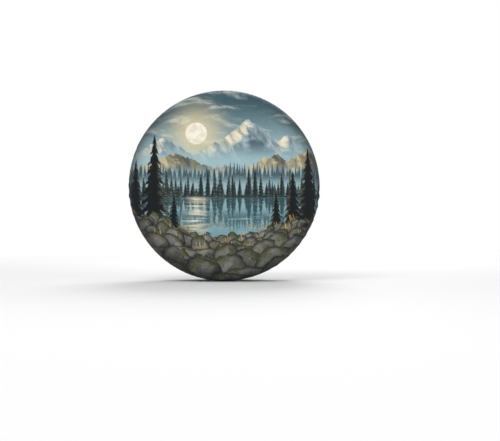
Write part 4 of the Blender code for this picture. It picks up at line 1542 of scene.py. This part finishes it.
def sewRows(name, rows, tree, material):
    # rows: polylines, each with whether it closes on itself
    points, edges = [], []
    for row, closed in rows:
        first, count = len(points), len(row)
        points += [tuple(point) for point in row]
        edges += [(first + i, first + (i + 1) % count) for i in range(count if closed else count - 1)]
    mesh = bpy.data.meshes.new(name)
    mesh.from_pydata(points, edges, [])
    obj = addObject(name, mesh)
    modifier = obj.modifiers.new("stitches", "NODES")
    modifier.node_group = tree
    values = {**stitchSet, "Thread Material": material}
    for item in tree.interface.items_tree:
        if item.in_out == "INPUT" and item.name in values:
            modifier[item.identifier] = values[item.name]
    return bake(obj)


def outerRows():
    lift, endGap = stitchSet["lift"], stitchSet["endGap"]
    around = np.linspace(0, math.tau, stitchSet["roundSteps"], endpoint=False)
    rows = []
    for seam in (faceSeamAt, skirtSeamAt):
        for side in (-1, 1):
            rows.append((clothPoint(seam + side * stitchSet["row"], around, lift), True))
    for middle in (bottom, -bottom):
        for side in (-1, 1):
            lengths = np.linspace(faceSeamAt + endGap, skirtSeamAt - endGap, stitchSet["bandSteps"])
            angle = middle + side * stitchSet["row"] / coverRadius
            rows.append((clothPoint(lengths, angle, lift), False))
            if middle > 0:  # the patch covers the lower seam of the skirt
                hemEnd = hemAt - stitchSet["hemGap"]
                lengths = np.linspace(skirtSeamAt + endGap, hemEnd, stitchSet["skirtSteps"])
                angle = middle + side * stitchSet["row"] / returnRadius
                rows.append((clothPoint(lengths, angle, lift), False))
    rows.append((clothPoint(hemAt - stitchSet["hemRow"], around, lift), True))
    patchRow = patchLoop(patchSet["stitchInset"], patchSet["lift"] + lift, stitchSet["patchSteps"])
    rows.append((patchRow, True))
    return rows


def innerRows():
    rows, gap = [], stitchSet["tapeGap"]
    angles = np.linspace(0, math.tau, stitchSet["bindingSteps"], endpoint=False)
    inner = coverRadius - bindingSet["under"] - bindingSet["thickness"] - stitchSet["lift"]
    for node in ("face_seam_binding", "skirt_seam_binding"):
        low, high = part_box(node)
        rows.append((roundPoint(inner, (low.y + high.y) / 2 + stitchSet["bindingRow"], angles), True))
    for node in ("top_seam_tape", "bottom_seam_tape"):
        low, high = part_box(node)
        z = low.z if low.z > 0 else high.z
        ys = np.linspace(low.y + gap, high.y - gap, stitchSet["tapeSteps"])
        for x in (-stitchSet["tapeRow"], stitchSet["tapeRow"]):
            rows.append((stackPoints(x, ys, z), False))
    return rows


print("stage")
makeCamera()
for lampName in ("key", "fill", "back"):
    makeLamp(lampName + "Lamp", lightSet[lampName])
makeWorld()

print("materials")
groups = {"weave": makeWeaveGroup(), "soil": makeSoilGroup(), "firTree": makeFirGroup()}
groups["firRow"] = makeFirRowGroup(groups["firTree"])
groups["boulderRow"] = makeBoulderGroup()
printCloth = makePrintMaterial(groups)
reverseCloth, blackCloth, tapeCloth = (makeClothMaterial(name, groups) for name in clothSet)
thread, plastic, springSteel, nickel = (makePlainMaterial(name) for name in plainSet)
braid = makeBraidMaterial(groups)

print("printed face")
printedFace = makePrintedFace([printCloth, reverseCloth])
settle(printedFace, "cover", "printed_polyester", "front_panel")

print("side band and rear skirt")
bands, skirts = [], []
for word, start, eyelet in (("Right", bottom, relief["eyelets"][1]),
                            ("Left", -bottom, relief["eyelets"][0])):
    band = makeBand("sideBand" + word, start, eyelet, [blackCloth])
    bands.append(settle(band, "cover", "black_polyester", "side_band_" + word.lower()))
    skirt = makeSkirt("rearSkirt" + word, start, [blackCloth])
    skirts.append(settle(skirt, "cover", "black_polyester", "rear_skirt_" + word.lower()))
allowance = seamSet["allowance"]
bandCut = skirtSeamAt - faceSeamAt + 2 * allowance
skirtCut = hemAt - skirtSeamAt + allowance

print("hem casing, bindings and tapes")
hemCasing = settle(makeCasing([blackCloth]), "cover", "black_polyester", "hem_casing")
for make, name, node, seed in ((makeBinding, "faceSeamBinding", "face_seam_binding", 51),
                               (makeBinding, "skirtSeamBinding", "skirt_seam_binding", 52),
                               (makeSeamTape, "topSeamTape", "top_seam_tape", 53),
                               (makeSeamTape, "bottomSeamTape", "bottom_seam_tape", 54)):
    settle(make(name, node, seed, [tapeCloth]), "cover", "binding_tape", node)
patch = settle(makePatch([blackCloth]), "cover", "black_polyester", "cord_exit_patch")

print("cord, lock and clip")
settle(makeCord([braid]), "cover", "elastic_cord", "draw_cord")
settle(makeLockBarrel([plastic]), "cord_lock", "black_plastic", "cord_lock_barrel")
settle(makeLockButton([plastic]), "lock_button", "black_plastic", "cord_lock_plunger")
spring = settle(makeLockSpring([springSteel]), "cord_lock", "spring_steel", "cord_lock_spring")
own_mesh(spring)
settle(makeClip([plastic]), "cover", "black_plastic", "cord_end_clip")

print("drain eyelets")
for word, angle in zip(("Left", "Right"), relief["eyelets"]):
    eyelet = makeEyelet("drainEyelet" + word, angle, [nickel])
    settle(eyelet, "cover", "nickel_plate", "drain_eyelet_" + word.lower())
    washer = makeWasher("drainWasher" + word, angle, [nickel])
    settle(washer, "cover", "nickel_plate", "drain_washer_" + word.lower())

print("stitches")
stitchTree = makeStitchTree()
settle(sewRows("outerStitches", outerRows(), stitchTree, thread), "cover", "binding_tape")
settle(sewRows("innerStitches", innerRows(), stitchTree, thread), "cover", "binding_tape")

print("floor and sizes")
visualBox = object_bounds()
makeFloor(visualBox[0].z - floorSet["drop"])
bpy.context.scene.view_settings.view_transform = "Standard"
